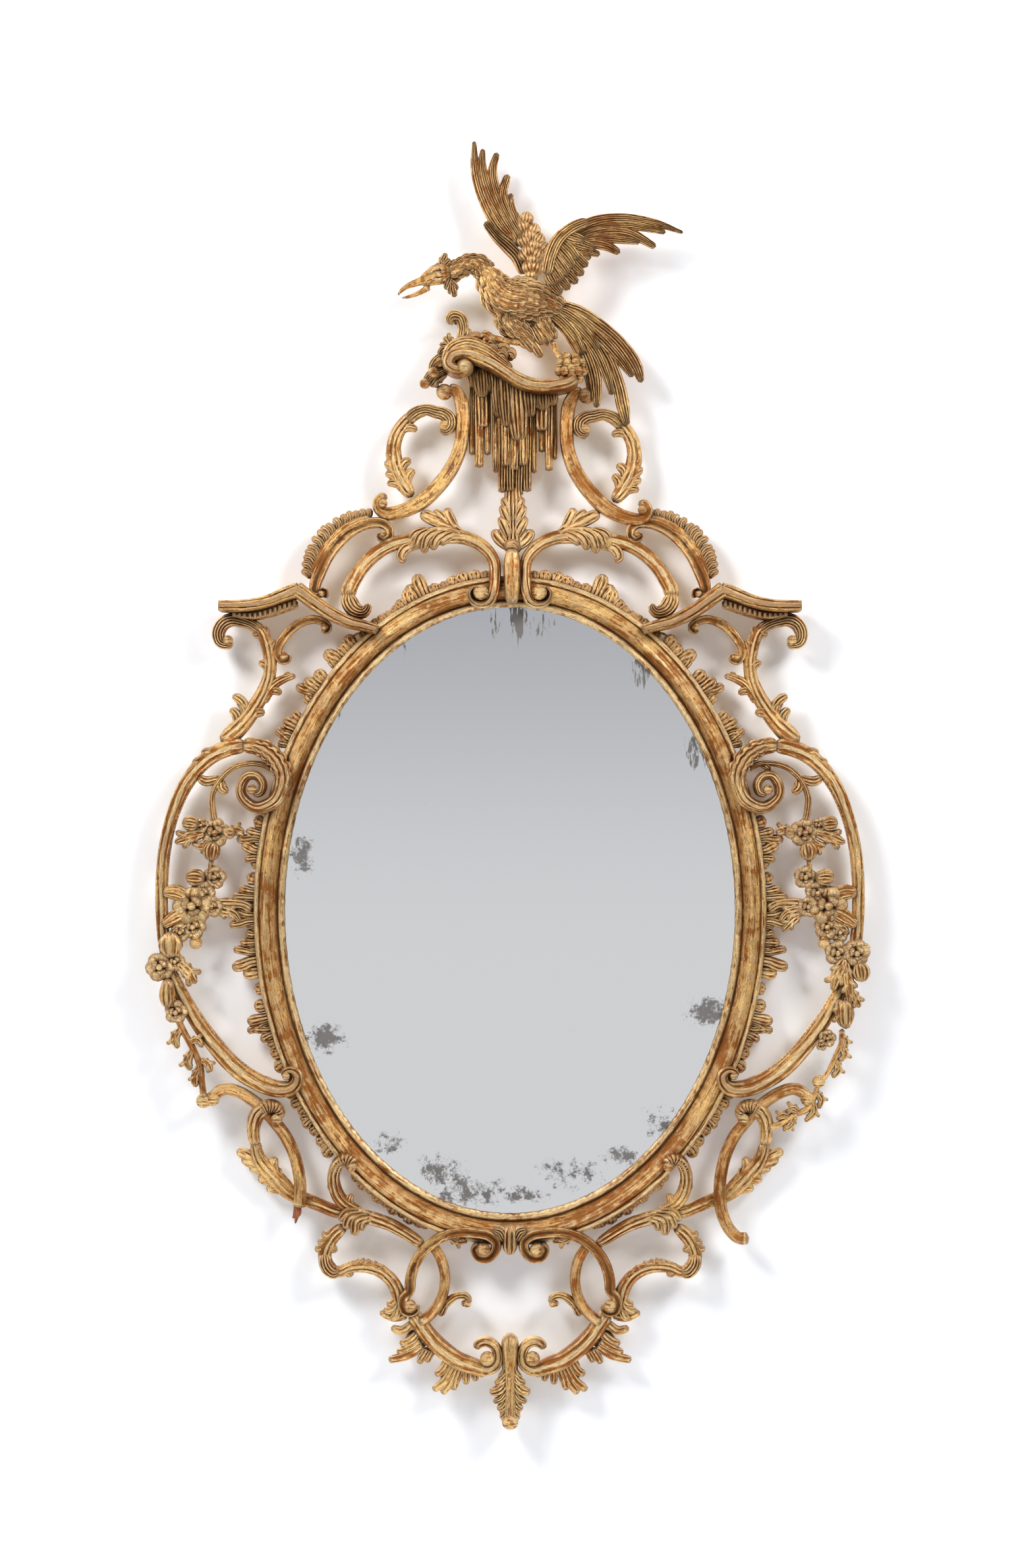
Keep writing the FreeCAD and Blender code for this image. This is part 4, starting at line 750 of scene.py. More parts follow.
BASE_RING = (
    (118, -990, 4, 50), (138, -1008, 5, 50), (122, -1032, 5.5, 49), (88, -1034, 6, 49),
    (58, -1012, 6.5, 49), (56, -985, 6.5, 50), (85, -966, 6.5, 50), (134, -959, 6.5, 48),
    (183, -957, 6.8, 46), (232, -963, 6.8, 44), (280, -979, 6.8, 43), (322, -1003, 6.8, 42),
    (352, -1029, 6.8, 42), (374, -1061, 6.8, 41), (387, -1098, 6.8, 41), (392, -1135, 6.6, 42),
    (412, -1153, 5.8, 45), (420, -1175, 4.8, 47), (409, -1194, 4.4, 48), (387, -1199, 4.2, 48),
    (366, -1191, 3.8, 48), (358, -1174, 3.4, 48),
)
BASE_RING_INNER = (
    (322, -985, 5, 30), (290, -1015, 6.3, 33), (265, -1050, 6.5, 36), (254, -1090, 6.5, 37),
    (256, -1127, 6.5, 37), (268, -1160, 6.5, 38), (294, -1193, 6.5, 40), (330, -1219, 6.5, 42),
    (362, -1229, 6, 42),
)
BASE_SPRIG = (
    (168, -1176, 3.5), (160, -1165, 4), (175, -1152, 4.5), (205, -1152, 4.5), (235, -1166, 5),
    (262, -1190, 5),
)
BASE_SCROLL = (
    (134, -1312, 4.5, 36), (122, -1295, 5.5, 37), (95, -1287, 6, 39), (64, -1297, 6, 40),
    (47, -1325, 6.5, 41), (55, -1352, 7.5, 41), (80, -1367, 8, 40), (112, -1369, 9), (150, -1360, 10),
    (197, -1347, 10.5), (246, -1322, 10.5), (293, -1290, 10.5), (330, -1257, 10), (360, -1225, 9.5),
    (385, -1200, 8),
)
# Tips of the tongues that grow from the bands: place across, place up and, if it differs, half width
CREST_LOOP_TIPS = (
    (512, 1357, 6), (520, 1322, 6.5), (514, 1288, 6), (415, 1334, 6), (400, 1304, 6), (396, 1422, 5),
    (505, 1258, 5),
)
STEM_TIPS = (
    (950, 850, 5), (916, 811, 5), (1006, 824, 5), (981, 743, 5), (1081, 645, 6), (1090, 605, 6),
    (955, 590, 6), (1062, 625, 5),
)
HOOK_TIPS = (
    (1010, 512, 5), (960, 508, 5.5), (912, 490, 5.5), (872, 458, 5.5), (850, 415, 5), (862, 365, 4.5),
)
LOWER_TIPS = (
    (1070, -722, 7), (1052, -748, 7), (1022, -772, 7), (988, -808, 7), (955, -836, 6), (919, -739, 6.5),
    (905, -772, 5),
)
ROCAILLE_TIPS = (
    (550, -1040), (570, -1038), (589, -1040), (520, -1048), (489, -1061), (462, -1078), (440, -1098),
    (735, -962), (751, -988), (763, -1009), (673, -1018), (617, -1096), (483, -1177), (494, -1195),
    (466, -1225), (610, -1046),
)
# Single leaves on the bands
HOOK_LEAF = (
    (1010, 497, 8, 42), (960, 484, 11, 46), (915, 458, 12, 51), (886, 420, 12, 55), (878, 385, 10, 56),
)
ROCAILLE_CURL = ((722, -1020, 7, 38), (716, -1056, 9, 41), (690, -1078, 9, 42), (662, -1078, 7, 41))
BASE_LEAVES = (
    ((325, -1262, 9), (368, -1288, 13), (420, -1312, 6)),
    ((212, -1335, 9), (235, -1372, 13), (262, -1408, 6)),
)
BASE_LOBES = (
    ((335, -1300, 5), (400, -1330, 5.8), (475, -1345, 4.4)),
    ((345, -1285, 5), (395, -1310, 5.4), (443, -1322, 4)),
    ((355, -1262, 5), (395, -1288, 5.4), (432, -1296, 4)),
    ((375, -1232, 5), (420, -1256, 5.6), (465, -1248, 4.2)),
    ((318, -1308, 4), (345, -1338, 4.8), (356, -1357, 3.8)),
    ((298, -1314, 4), (318, -1338, 4.5), (325, -1353, 3.6)),
    ((212, -1355, 5), (255, -1408, 5.8), (302, -1435, 4.4)),
    ((235, -1342, 5), (265, -1376, 5.4), (294, -1389, 4)),
    ((203, -1360, 5), (235, -1414, 5.6), (267, -1446, 4.2)),
    ((190, -1360, 5), (212, -1408, 5.2), (222, -1436, 4)),
    ((168, -1358, 4.5), (172, -1393, 5), (170, -1419, 3.8)),
    ((140, -1362, 4.5), (138, -1388, 4.8), (132, -1409, 3.8)),
    ((118, -1360, 4), (112, -1380, 4.5), (106, -1397, 3.6)),
    ((400, -1210, 5), (455, -1217, 5.4), (508, -1200, 4)),
)
# Lobes of the frill, cluster by cluster: degrees round the oval and millimetres past its edge
FRILL = (
    ((84.6, 10), (82.2, 13), (79.6, 14), (77.2, 12), (75.2, 9)),
    (
        (72.9, 11), (70.5, 29), (68.8, 22), (67.2, 19), (65.3, 12), (63.8, 9), (61.9, 8), (60.2, 9),
        (58.6, 10), (57, 11), (55.6, 9),
    ),
    ((52.3, 17), (50.4, 15), (48.3, 23), (47.1, 14)),
    ((43.6, 17), (41.5, 22), (40.4, 26), (38.9, 11)),
    ((34.9, 13.5), (33.3, 19), (31.6, 22), (30.7, 18), (29.7, 13)),
    ((15.2, 13), (13.2, 19.5), (12.3, 29), (10.4, 22), (8.9, 16), (8, 8), (5.4, 12)),
    ((3.3, 20), (2.2, 27), (1, 39), (-0.7, 37), (-1.8, 31), (-2.5, 11)),
    ((-4.1, 12), (-5.4, 19), (-6.5, 15), (-7.1, 28), (-8.7, 32), (-10.6, 20), (-13.5, 9.5)),
    (
        (-16.5, 14), (-18.6, 26), (-19.5, 29), (-20.7, 22), (-21.8, 16.5), (-23.3, 10.6), (-25.2, 11),
        (-27.5, 12.5),
    ),
    (
        (-32.9, 13.5), (-34.9, 13), (-36.5, 10), (-38.1, 11.5), (-38.9, 13), (-40.9, 10.6), (-43.4, 11.5),
        (-45.4, 13.5),
    ),
    ((-53, 7), (-55, 9), (-57, 6), (-59, 9), (-61, 7), (-63, 10), (-65, 7), (-67, 9), (-69, 7), (-70.5, 6)),
)
# Profile of the moulding: share of its width from the glass outward, and front
MOULDING = (
    (0, 7), (0, 24), (0, 27.4), (0.03, 29.4), (0.08, 30.8), (0.13, 31.4), (0.18, 30.8), (0.22, 29),
    (0.245, 28.5), (0.27, 30.4), (0.31, 33.6), (0.37, 37), (0.44, 39.4), (0.52, 40.9), (0.6, 41.2),
    (0.67, 40.7), (0.73, 39.4), (0.78, 37.9), (0.805, 35.5), (0.82, 35.1), (0.84, 36.4), (0.87, 37.4),
    (0.91, 37.5), (0.95, 36.9), (0.98, 35.4), (1, 32.5), (1, 20), (1, 7),
)
MOULDING_WIDTH = 38.0


@dataclass(frozen=True)
class Moulding:
    """The oval's four lengths of moulding."""

    profile: Table = MOULDING
    width: float = MOULDING_WIDTH
    quarters: tuple[tuple[str, float], ...] = (("right", 0), ("top", 90), ("left", 180), ("bottom", 270))
    joint: float = 0.025
    rows: int = 260
    columns: int = 84

    def build(self, sheet: Sheet, middle: float) -> bmesh.types.BMesh:
        """Runs one length of moulding round its quarter.

        Args:
            sheet: the carver's sheet.
            middle: angle of the quarter's middle in degrees.

        Returns:
            The moulding in metres.
        """
        bm = bmesh.new()
        outline = np.array(self.profile + (self.profile[0],))
        share = np.concatenate(
            ([0.0], np.cumsum(np.hypot(*(np.diff(outline, axis=0) * (self.width, 1)).T)))
        )
        share /= share[-1]

        def place(s: Array, q: Array) -> Array:
            """Places the moulding's points.

            Args:
                s: shares round the quarter.
                q: shares round the profile.

            Returns:
                The points on the sheet.
            """
            angle = np.radians(middle - 45 + self.joint + s * (90 - 2 * self.joint))
            out = np.interp(q, share, outline[:, 0])
            front = np.interp(q, share, outline[:, 1])
            hand = 0.25 * np.sin(angle * 47 + out * 5) + 0.2 * np.sin(angle * 113 + out * 9)
            nick = np.where(out < 0.1, 0.35 * np.sin(angle * 171) * np.sin(angle * 53), 0)
            front = np.where(front > 26, front + hand * 0.6, front)
            inset = (out - 1) * self.width + nick
            x = np.cos(angle) * (sheet.half_width + inset)
            z = np.sin(angle) * (sheet.half_height + inset)
            return np.column_stack((x, -front, z, angle * sheet.half_height, out * self.width))

        lay_skin(bm, self.rows, self.columns, place)
        rims = [edge for edge in bm.edges if edge.is_boundary]
        bmesh.ops.holes_fill(bm, edges=rims, sides=0)
        bmesh.ops.split_edges(bm, edges=rims)
        sheet.stand(bm)
        return bm


@dataclass(frozen=True)
class Frill:
    """The shell frill that stands round the oval."""

    clusters: tuple[Table, ...] = FRILL
    root: float = 7.0
    narrow: float = 5.6
    wide: float = 9.0
    front: float = 32.0
    back: float = 14.0

    def build(self, sheet: Sheet) -> bmesh.types.BMesh:
        """Carves every lobe of the frill on both sides.

        Args:
            sheet: the carver's sheet.

        Returns:
            The frill in metres.
        """
        bm = bmesh.new()
        for cluster in self.clusters:
            angles = np.radians([lobe[0] for lobe in cluster])
            gaps = np.abs(np.gradient(angles))
            for k, (degrees, reach) in enumerate(cluster):
                self.lobe(bm, sheet, math.radians(degrees), reach, gaps[k], k)
        half = bm.verts[:] + bm.edges[:] + bm.faces[:]
        copy = bmesh.ops.duplicate(bm, geom=half)["geom"]
        verts = [item for item in copy if isinstance(item, bmesh.types.BMVert)]
        bmesh.ops.transform(bm, matrix=TURN_OVER, verts=verts)
        sheet.stand(bm)
        return bm

    def lobe(
        self, bm: bmesh.types.BMesh, sheet: Sheet, angle: float, reach: float, gap: float, index: int
    ) -> None:
        """Carves one lobe.

        Args:
            bm: carving that takes the lobe.
            sheet: the carver's sheet.
            angle: its place round the oval.
            reach: how far it stands past the oval's edge in millimetres.
            gap: angle to the next lobe.
            index: its number in the cluster.
        """
        x = sheet.half_width * math.cos(angle)
        z = sheet.half_height * math.sin(angle)
        nx = math.cos(angle) / sheet.half_width
        nz = math.sin(angle) / sheet.half_height
        size = math.hypot(nx, nz)
        nx, nz = nx / size, nz / size
        half = min(max(gap * math.hypot(x, z) * 0.8, self.narrow), self.wide)
        bend = reach * 0.2 * math.sin(index * 2.4 + 0.6)
        lift = 2.5 * math.sin(index * 1.9)
        mid = reach * 0.55
        tip = reach - half * 0.1
        knots = np.array(
            (
                (x - nx * self.root, z - nz * self.root, half * 0.8, self.front - 1 + lift),
                (x + nx * mid * 0.4, z + nz * mid * 0.4, half * 0.9, self.front + lift),
                (
                    x + nx * mid - nz * bend * 0.6, z + nz * mid + nx * bend * 0.6, half,
                    self.front - 2 + lift,
                ),
                (x + nx * tip - nz * bend, z + nz * tip + nx * bend, half * 0.85, self.front + 1 + lift),
            )
        )
        carve(bm, knots, self.back, SHELL)


@dataclass(frozen=True)
class Eave:
    """One of the two little roofs at the shoulders, with its dentils."""

    inner: Table = (
        (512, 836, 5.5), (560, 848, 6.5), (622, 860, 7.5), (697, 886, 8.5), (760, 918, 9),
        (800, 942, 9.5), (832, 960, 10),
    )
    outer: Table = (
        (812, 957, 9), (850, 948, 9), (878, 940, 8.4), (934, 923, 7.8), (997, 911, 7.6), (1059, 907, 7.4),
        (1132, 908, 6.8),
    )
    soffit: Table = ((826, 922, 7), (878, 908, 6.5), (934, 893, 6.2), (997, 882, 5.8), (1085, 886, 3.5))
    front: float = 66.0
    back: float = 10.0
    soffit_front: float = 46.0
    dentil: float = 3.6
    dentil_depth: float = 5.0
    dentil_edge: float = 0.5
    pitch: float = 6.2

    def build(self, sheet: Sheet, left: bool) -> bmesh.types.BMesh:
        """Carves the roof's two arms, the soffit and its dentils.

        Args:
            sheet: the carver's sheet.
            left: whether it is turned over for the left side.

        Returns:
            The roof in metres.
        """
        bm = bmesh.new()
        for arm in (self.inner, self.outer):
            carve(bm, sheet.knots(arm, self.front), self.back, ROOF)
        line = carve(bm, sheet.knots(self.soffit, self.soffit_front), self.back, Cut(square=0.5))
        count = int(line_length(line) / self.pitch)
        for share in np.linspace(0.04, 0.94, count):
            x, z, half, _ = line[int(share * (len(line) - 1))]
            place = Matrix.Translation((x, -self.soffit_front - 1.2, z - half * 0.2))
            size = Matrix.Diagonal((self.dentil, self.dentil_depth, half * 1.1, 1))
            made = bmesh.ops.create_cube(bm, size=1, matrix=place @ size)["verts"]
            edges = {edge for vert in made for edge in vert.link_edges}
            bmesh.ops.bevel(
                bm, geom=list(edges), offset=self.dentil_edge, offset_type="OFFSET", segments=2,
                profile=0.5, affect="EDGES", material=-1,
            )
        if left:
            bmesh.ops.transform(bm, matrix=TURN_OVER, verts=bm.verts)
        sheet.stand(bm)
        return bm


@dataclass(frozen=True)
class Rockwork:
    """The dripping rockwork under the perch."""

    strips: Table = (
        (-160, -138, 1362, 1585, 31), (-138, -104, 1324, 1590, 34), (-100, -76, 1362, 1590, 32),
        (-69, -44, 1309, 1590, 35), (-47, 84, 1238, 1590, 38), (84, 105, 1307, 1560, 35),
        (112, 137, 1370, 1550, 32), (137, 168, 1314, 1550, 34), (168, 184, 1348, 1548, 31),
        (-36, 70, 1310, 1590, 42), (-128, -84, 1440, 1600, 38), (100, 150, 1430, 1552, 38),
    )
    tongues: Table = (
        (-142, 1625, 1560, 9, 48), (-112, 1622, 1530, 10, 51), (-78, 1612, 1545, 9, 48),
        (-44, 1600, 1470, 9, 49), (-18, 1592, 1440, 10, 52), (30, 1580, 1398, 14, 50),
        (72, 1566, 1470, 10, 52), (98, 1560, 1495, 9, 48), (128, 1556, 1490, 10, 49),
        (160, 1556, 1505, 9, 46),
    )
    back: float = 14.0
    strand: float = 10.5

    def build(self, sheet: Sheet) -> bmesh.types.BMesh:
        """Carves each strip as a bundle of hanging strands of its own lengths.

        Args:
            sheet: the carver's sheet.

        Returns:
            The rockwork in metres.
        """
        bm = bmesh.new()
        for number, (left, right, foot, top, front) in enumerate(self.strips):
            x0, z0 = sheet.spot(left, foot)
            x1, z1 = sheet.spot(right, top)
            count = max(round((x1 - x0) / self.strand), 1)
            for k in range(count):
                x = x0 + (x1 - x0) * (k + 0.5) / count
                wave = math.sin(number * 3.1 + k * 2.3)
                middle = 1 - abs(2 * (k + 0.5) / count - 1)
                low = z0 + (count > 1) * (4 * (1 - middle) + 1.6 * (1 + wave))
                half = (x1 - x0) / count * 0.55
                face = front + wave * 1.8
                knots = np.array(
                    (
                        (x, z1, half * 0.95, face - 2),
                        (x + wave * 0.5, (z1 * 2 + low) / 3, half, face),
                        (x - wave * 0.6, (z1 + low * 2) / 3, half, face - 0.5),
                        (x, low, half * 0.9, face - 2),
                    )
                )
                carve(bm, knots, self.back, BARK)
        for u, top, foot, half, front in self.tongues:
            table = (
                (u - 4, top, half * 0.8, front), (u, (top + foot) / 2, half, front + 2),
                (u + 5, foot, half * 0.7, front - 3),
            )
            carve(bm, sheet.knots(table, front), self.back, STRIATED)
        sheet.stand(bm)
        return bm


def mirrored(table: Table) -> Table:
    """Turns a table of places over to the left side."""
    return tuple((-u, *rest) for u, *rest in table)


def feather(front: float, thick: float, line: Table) -> Leaf:
    """Makes one long feather from its front, its thickness and its line from root to tip."""
    return Leaf(line, front, front - thick, FEATHER)


def covert(u: float, w: float, angle: float, half: float, length: float, front: float) -> Leaf:
    """Makes one short round feather.

    Args:
        u: place of its tip across.
        w: place of its tip upward.
        angle: direction from root to tip in degrees.
        half: its half width in millimetres.
        length: its length in millimetres.
        front: its front in millimetres from the wall.

    Returns:
        The feather.
    """
    du = math.cos(math.radians(angle)) * length / ACROSS_MM
    dw = math.sin(math.radians(angle)) * length / UP_MM
    path = (
        (u - du, w - dw, half * 0.6, front - 3),
        (u - du * 0.45, w - dw * 0.45, half, front + 1),
        (u, w, half * 0.75, front - 2),
    )
    return Leaf(path, front, front - 12, COVERT)


def tuft(u: float, w: float, angle: float, half: float, length: float, front: float) -> Leaf:
    """Makes one round curled tuft of down, placed as a short feather is."""
    return Leaf(covert(u, w, angle, half, length, front).table, front, front - 15, DOWN)


# How many of the right garland's first members the left one shares, then the members
SHARED = 22
GARLAND_RIGHT = (
    Blossom(1146, 233, 15, 46), Leaf(((1115, 234, 5), (1087, 232, 8), (1068, 230, 5)), 40, 24, REEDED),
    Leaf(((1110, 232, 4), (1070, 240, 6), (1035, 233, 4)), 34, 22), Blossom(1200, 255, 8, 43),
    Leaf(((1208, 256, 6), (1240, 261, 9.5), (1276, 262, 7)), 47, 28, STRIATED),
    Leaf(((1185, 232, 4), (1240, 222, 8), (1305, 203, 3)), 42),
    Leaf(((1170, 215, 3), (1200, 195, 6), (1228, 196, 3)), 40),
    Leaf(((1150, 208, 6), (1160, 180, 11), (1162, 148, 7)), 47, 26, STRIATED),
    Leaf(((1162, 155, 3), (1166, 130, 3), (1162, 105, 4)), 40, 24, PLAIN),
    Blossom(1150, 100, 12, 43), Leaf(((1185, 95, 7), (1224, 100, 11), (1262, 98, 8)), 47, 26, STRIATED),
    Blossom(1235, 16, 20, 52, 6), Blossom(1196, 52, 13, 46), Blossom(1160, 12, 11, 43),
    Leaf(((1255, 40, 7), (1300, 55, 10), (1352, 55, 5)), 43, 30, STRIATED),
    Leaf(((1250, 0, 7), (1300, -20, 10), (1352, -45, 5)), 43, 30, STRIATED),
    Leaf(((1230, -10, 5), (1275, -40, 7), (1320, -70, 3)), 42), Blossom(1232, -48, 13, 46),
    Blossom(1282, -64, 10, 44),
    Knob(1222, -95, 8, 44), Leaf(((1165, 10, 5), (1120, 0, 7), (1075, -10, 5), (1050, -35, 3)), 36, 22),
    Leaf(((1160, 20, 5), (1100, 22, 7), (1040, 18, 6), (1000, 0, 8)), 34, 16, SHELL),
    Leaf(((1140, -5, 4), (1100, -30, 6), (1060, -62, 3)), 36, 22),
    Blossom(1271, -125, 13, 50), Blossom(1345, -125, 14, 52, 6), Knob(1377, -112, 7, 48),
    Leaf(((1350, -150, 6), (1362, -180, 11.5), (1366, -212, 7)), 52, 30, STRIATED),
    Leaf(((1300, -140, 5), (1272, -185, 8), (1252, -237, 3)), 50, 36),
    Leaf(((1300, -150, 5), (1315, -215, 7), (1318, -275, 4)), 49, 36),
    Leaf(((1318, -230, 4), (1338, -255, 6), (1358, -288, 3)), 48, 36),
    Leaf(((1300, -262, 6), (1302, -305, 11), (1304, -352, 5)), 52, 34, REEDED),
    Leaf(((1280, -262, 4), (1278, -305, 6), (1290, -345, 3)), 50, 36), Blossom(1233, -379, 9, 48),
    Blossom(1210, -398, 6, 47),
    Leaf(
        (
            (1290, -350, 3.5), (1288, -395, 3.5), (1268, -430, 3.5), (1250, -462, 3.5), (1228, -490, 3),
            (1199, -512, 3),
        ),
        45, 34, PLAIN,
    ),
    Leaf(((1288, -400, 3), (1300, -425, 5), (1283, -448, 2.5)), 46, 36),
    Leaf(((1262, -440, 3), (1275, -470, 5), (1252, -497, 2.5)), 46, 36),
    Leaf(((1283, -370, 3), (1302, -385, 4.5), (1304, -410, 2.5)), 46, 36),
    Knob(1199, -507, 8, 48),
    Leaf(
        (
            (1199, -515, 3), (1176, -570, 3.5), (1148, -595, 4), (1108, -607, 4), (1071, -627, 4),
            (1030, -642, 4), (1000, -648, 3),
        ),
        42, 30, PLAIN,
    ),
    Leaf(((1176, -560, 3), (1180, -600, 5), (1146, -628, 2.5)), 44, 32),
    Leaf(((1130, -602, 3), (1100, -590, 5), (1071, -597, 2.5)), 44, 32),
    Leaf(((1185, -535, 3), (1210, -560, 4.5), (1200, -590, 2.5)), 44, 32),
    Leaf(((1090, -615, 3), (1060, -610, 4.5), (1035, -622, 2.5)), 43, 32),
    Leaf(((1110, -610, 3), (1090, -640, 4.5), (1060, -655, 2.5)), 43, 32),
)
# Members that hang from the left garland alone
LEFT_DROP = (
    Leaf(((-1316, -60, 9), (-1318, -100, 15), (-1316, -142, 8)), 52, 34, REEDED),
    Blossom(-1359, -166, 15, 52, 6),
    Blossom(-1300, -150, 10, 49), Leaf(((-1290, -150, 5), (-1250, -180, 8), (-1218, -216, 3)), 50, 36),
    Leaf(((-1330, -200, 6), (-1330, -256, 10), (-1326, -290, 5)), 51, 34, REEDED),
    Blossom(-1297, -301, 12, 50),
    Leaf(
        (
            (-1297, -310, 4), (-1270, -356, 4), (-1232, -410, 4), (-1205, -460, 4), (-1197, -510, 4),
            (-1190, -560, 4),
        ),
        46, 34, PLAIN,
    ),
    Leaf(((-1275, -345, 3), (-1300, -375, 6), (-1290, -410, 3)), 47, 36),
    Leaf(((-1250, -390, 3), (-1215, -385, 5), (-1195, -405, 3)), 47, 36),
    Leaf(((-1232, -410, 3), (-1252, -445, 6), (-1240, -475, 3)), 47, 36),
    Leaf(((-1205, -455, 3), (-1225, -500, 5), (-1218, -525, 3)), 46, 36),
    Leaf(((-1205, -440, 3), (-1175, -455, 5), (-1160, -480, 3)), 46, 36), Knob(-1192, -566, 9, 46),
)


def turned(member: Member) -> Member:
    """Turns a member of the garland over to the left side.

    Args:
        member: a flower, leaf or knob of the right side.

    Returns:
        The same on the left side.
    """
    if isinstance(member, Blossom):
        return Blossom(-member.u, member.w, member.radius, member.front, member.petals)
    if isinstance(member, Knob):
        return Knob(-member.u, member.w, member.radius, member.front)
    return Leaf(mirrored(member.table), member.front, member.back, member.cut)


def garlands() -> list[Carving]:
    """Makes the two garlands, which differ in their hanging ends.

    Returns:
        The two carvings.
    """
    tips = ((1215, 398, 6), (1098, 352, 6), (1010, 415, 4))
    vine = Spray(VINE, REEDED, 41, 26, tips, 1, 12)
    left_vine = Spray(mirrored(VINE), REEDED, 41, 26, mirrored(tips[:2]), 1, 12)
    upper = tuple(turned(member) for member in GARLAND_RIGHT[:SHARED])
    return [
        Carving("garland_right", (vine, *GARLAND_RIGHT)),
        Carving("garland_left", (left_vine, *upper, *LEFT_DROP)),
    ]


def scrolls() -> list[Carving]:
    """Makes every paired scroll, leaf and rod of the surround.

    Returns:
        The carvings.
    """
    crest_eyes = ((298, 1537, 10, 44), (514, 1195, 5.5, 44))
    shoulder_edge = tuple((u * 1.018 + 3, w * 1.01 + 3, 6) for u, w, *_ in SHOULDER_SCROLL[6:13])
    arch_cut = Cut(square=0.62, reeds=2.0, reed_depth=0.1, columns=36)
    hook_cut = Cut(reeds=3.0, reed_depth=0.07, columns=44, pitch=1.6)
    rod_eye = (1158, -560, 9, 45)
    rod = Spray(LOWER_ROD, Cut(square=0.95, end=0.7), 41, 21, eyes=(rod_eye,))
    stump = Spray(
        mirrored(LOWER_ROD[:BROKEN_AT]), Cut(square=0.95, end=0.3), 41, 21, eyes=mirrored((rod_eye,)),
    )
    return [
        *both(
            "crest_scroll", (Spray(CREST_SCROLL, Cut(square=0.7, channel=0.1), eyes=crest_eyes),),
            Lean.CREST,
        ),
        *both(
            "crest_loop",
            (
                Spray(CREST_LOOP[6:], REEDED, 34, 16, CREST_LOOP_TIPS, -1, 18),
                Leaf(CREST_LOOP[:9], 40, 18, CURL), Knob(293, 1437, 6, 42),
            ),
            Lean.CREST,
        ),
        *both(
            "shoulder_scroll",
            (
                Spray(SHOULDER_SCROLL, HOLLOW, 36, 16, eyes=((492, 1126, 4, 42), (734, 944, 4.4, 42))),
                Spray(shoulder_edge, PLAIN, 31, 16, SHOULDER_TIPS, -1, 4, SHELL),
            ),
        ),
        *both(
            "arch_scroll",
            (
                Spray(ARCH_SCROLL, arch_cut, eyes=((113, 947, 9.4, 60),)), Leaf(ARCH_CURL, 42, 18, CURL),
                *(Leaf(line, 42, 22, LOBE) for line in ARCH_WRAP),
                *(Leaf(line, 37, 20, LOBE) for line in ARCH_BRANCH),
            ),
        ),
        *both(
            "eave_bracket",
            (Spray(EAVE_BRACKET, HOLLOW, 34, 18, eyes=((723, 848, 4.4, 37), (880, 760, 5, 37))),),
        ),
        *both(
            "leaf_stem",
            (
                Spray(LEAF_STEM[5:], REEDED, 36, 18, STEM_TIPS, -1, 16),
                Leaf(LEAF_STEM[:9], 40, 18, CURL), Knob(1097, 806, 6.5, 43),
                Spray(STEM_BRANCH, REEDED, 34, 20, ((891, 647, 5), (934, 633, 5), (862, 715, 4)), -1, 10),
            ),
        ),
        *both(
            "side_scroll",
            (
                Spray(SIDE_HOOK, hook_cut, 50, 20, HOOK_TIPS, -1, 10), Leaf(HOOK_LEAF, 50, 26, ACANTHUS),
                Spray(SIDE_SCROLL, DOUBLE, 39, 16, ((1205, 475, 6), (1240, 440, 6), (1253, 405, 5)), 1, 20),
                Knob(1000, 362, 6, 57), Beads(SIDE_BEADS, 1.5, 4.6, 36), Knob(868, -490, 5, 53),
            ),
        ),
        *both(
            "lower_leaf",
            (
                Leaf(LOWER_CROOK[:5], 40, 20, ROLLED), Leaf(LOWER_CROOK[3:], 40, 20, REEDED),
                Spray(LOWER_LEAF, REEDED, 26, 10, LOWER_TIPS, -1, 26, LOBE), Knob(905, -618, 7, 52),
            ),
        ),
        *both(
            "base_branch",
            (
                Spray(BASE_BRANCH, REEDED, 38, 18), *(Leaf(line, 40, 20, LOBE) for line in BASE_DROOP),
                Spray(
                    BASE_CROOK[:7], REEDED, 38, 20, ((617, -846, 5), (712, -816, 5)), 1, 14,
                    eyes=((615, -760, 6, 53),),
                ),
                Leaf(BASE_CROOK[4:], 38, 20, ROLLED),
                Spray(BASE_ROCAILLE, REEDED, 36, 18, ROCAILLE_TIPS, 1, 9, LOBE),
                Leaf(ROCAILLE_CURL, 40, 20, CURL),
            ),
        ),
        *both(
            "base_ring",
            (
                Spray(BASE_RING, HOLLOW, 42, 24, eyes=((102, -1006, 8, 54), (388, -1174, 7.6, 51))),
                Spray(BASE_RING_INNER, PLAIN, 37, 16),
                Spray(
                    BASE_SPRIG, REEDED, 33, 18, ((274, -1214, 5), (190, -1180, 3.5)), 1, 8,
                    eyes=((166, -1174, 4.5, 36),),
                ),
                Leaf(((240, -968, 4, 40), (205, -985, 5, 40), (165, -985, 3, 38)), 40, 28),
            ),
        ),
        *both(
            "base_scroll",
            (
                Spray(BASE_SCROLL, DOUBLE, 38, 16, eyes=((88, -1334, 9, 47),)),
                *(Leaf(line, 27, 16, CURL) for line in BASE_LEAVES),
                *(Leaf(line, 32, 18, LOBE) for line in BASE_LOBES),
            ),
        ),
        Carving("lower_rod_right", (rod,)),
        Carving("lower_rod_left", (stump,)),
    ]


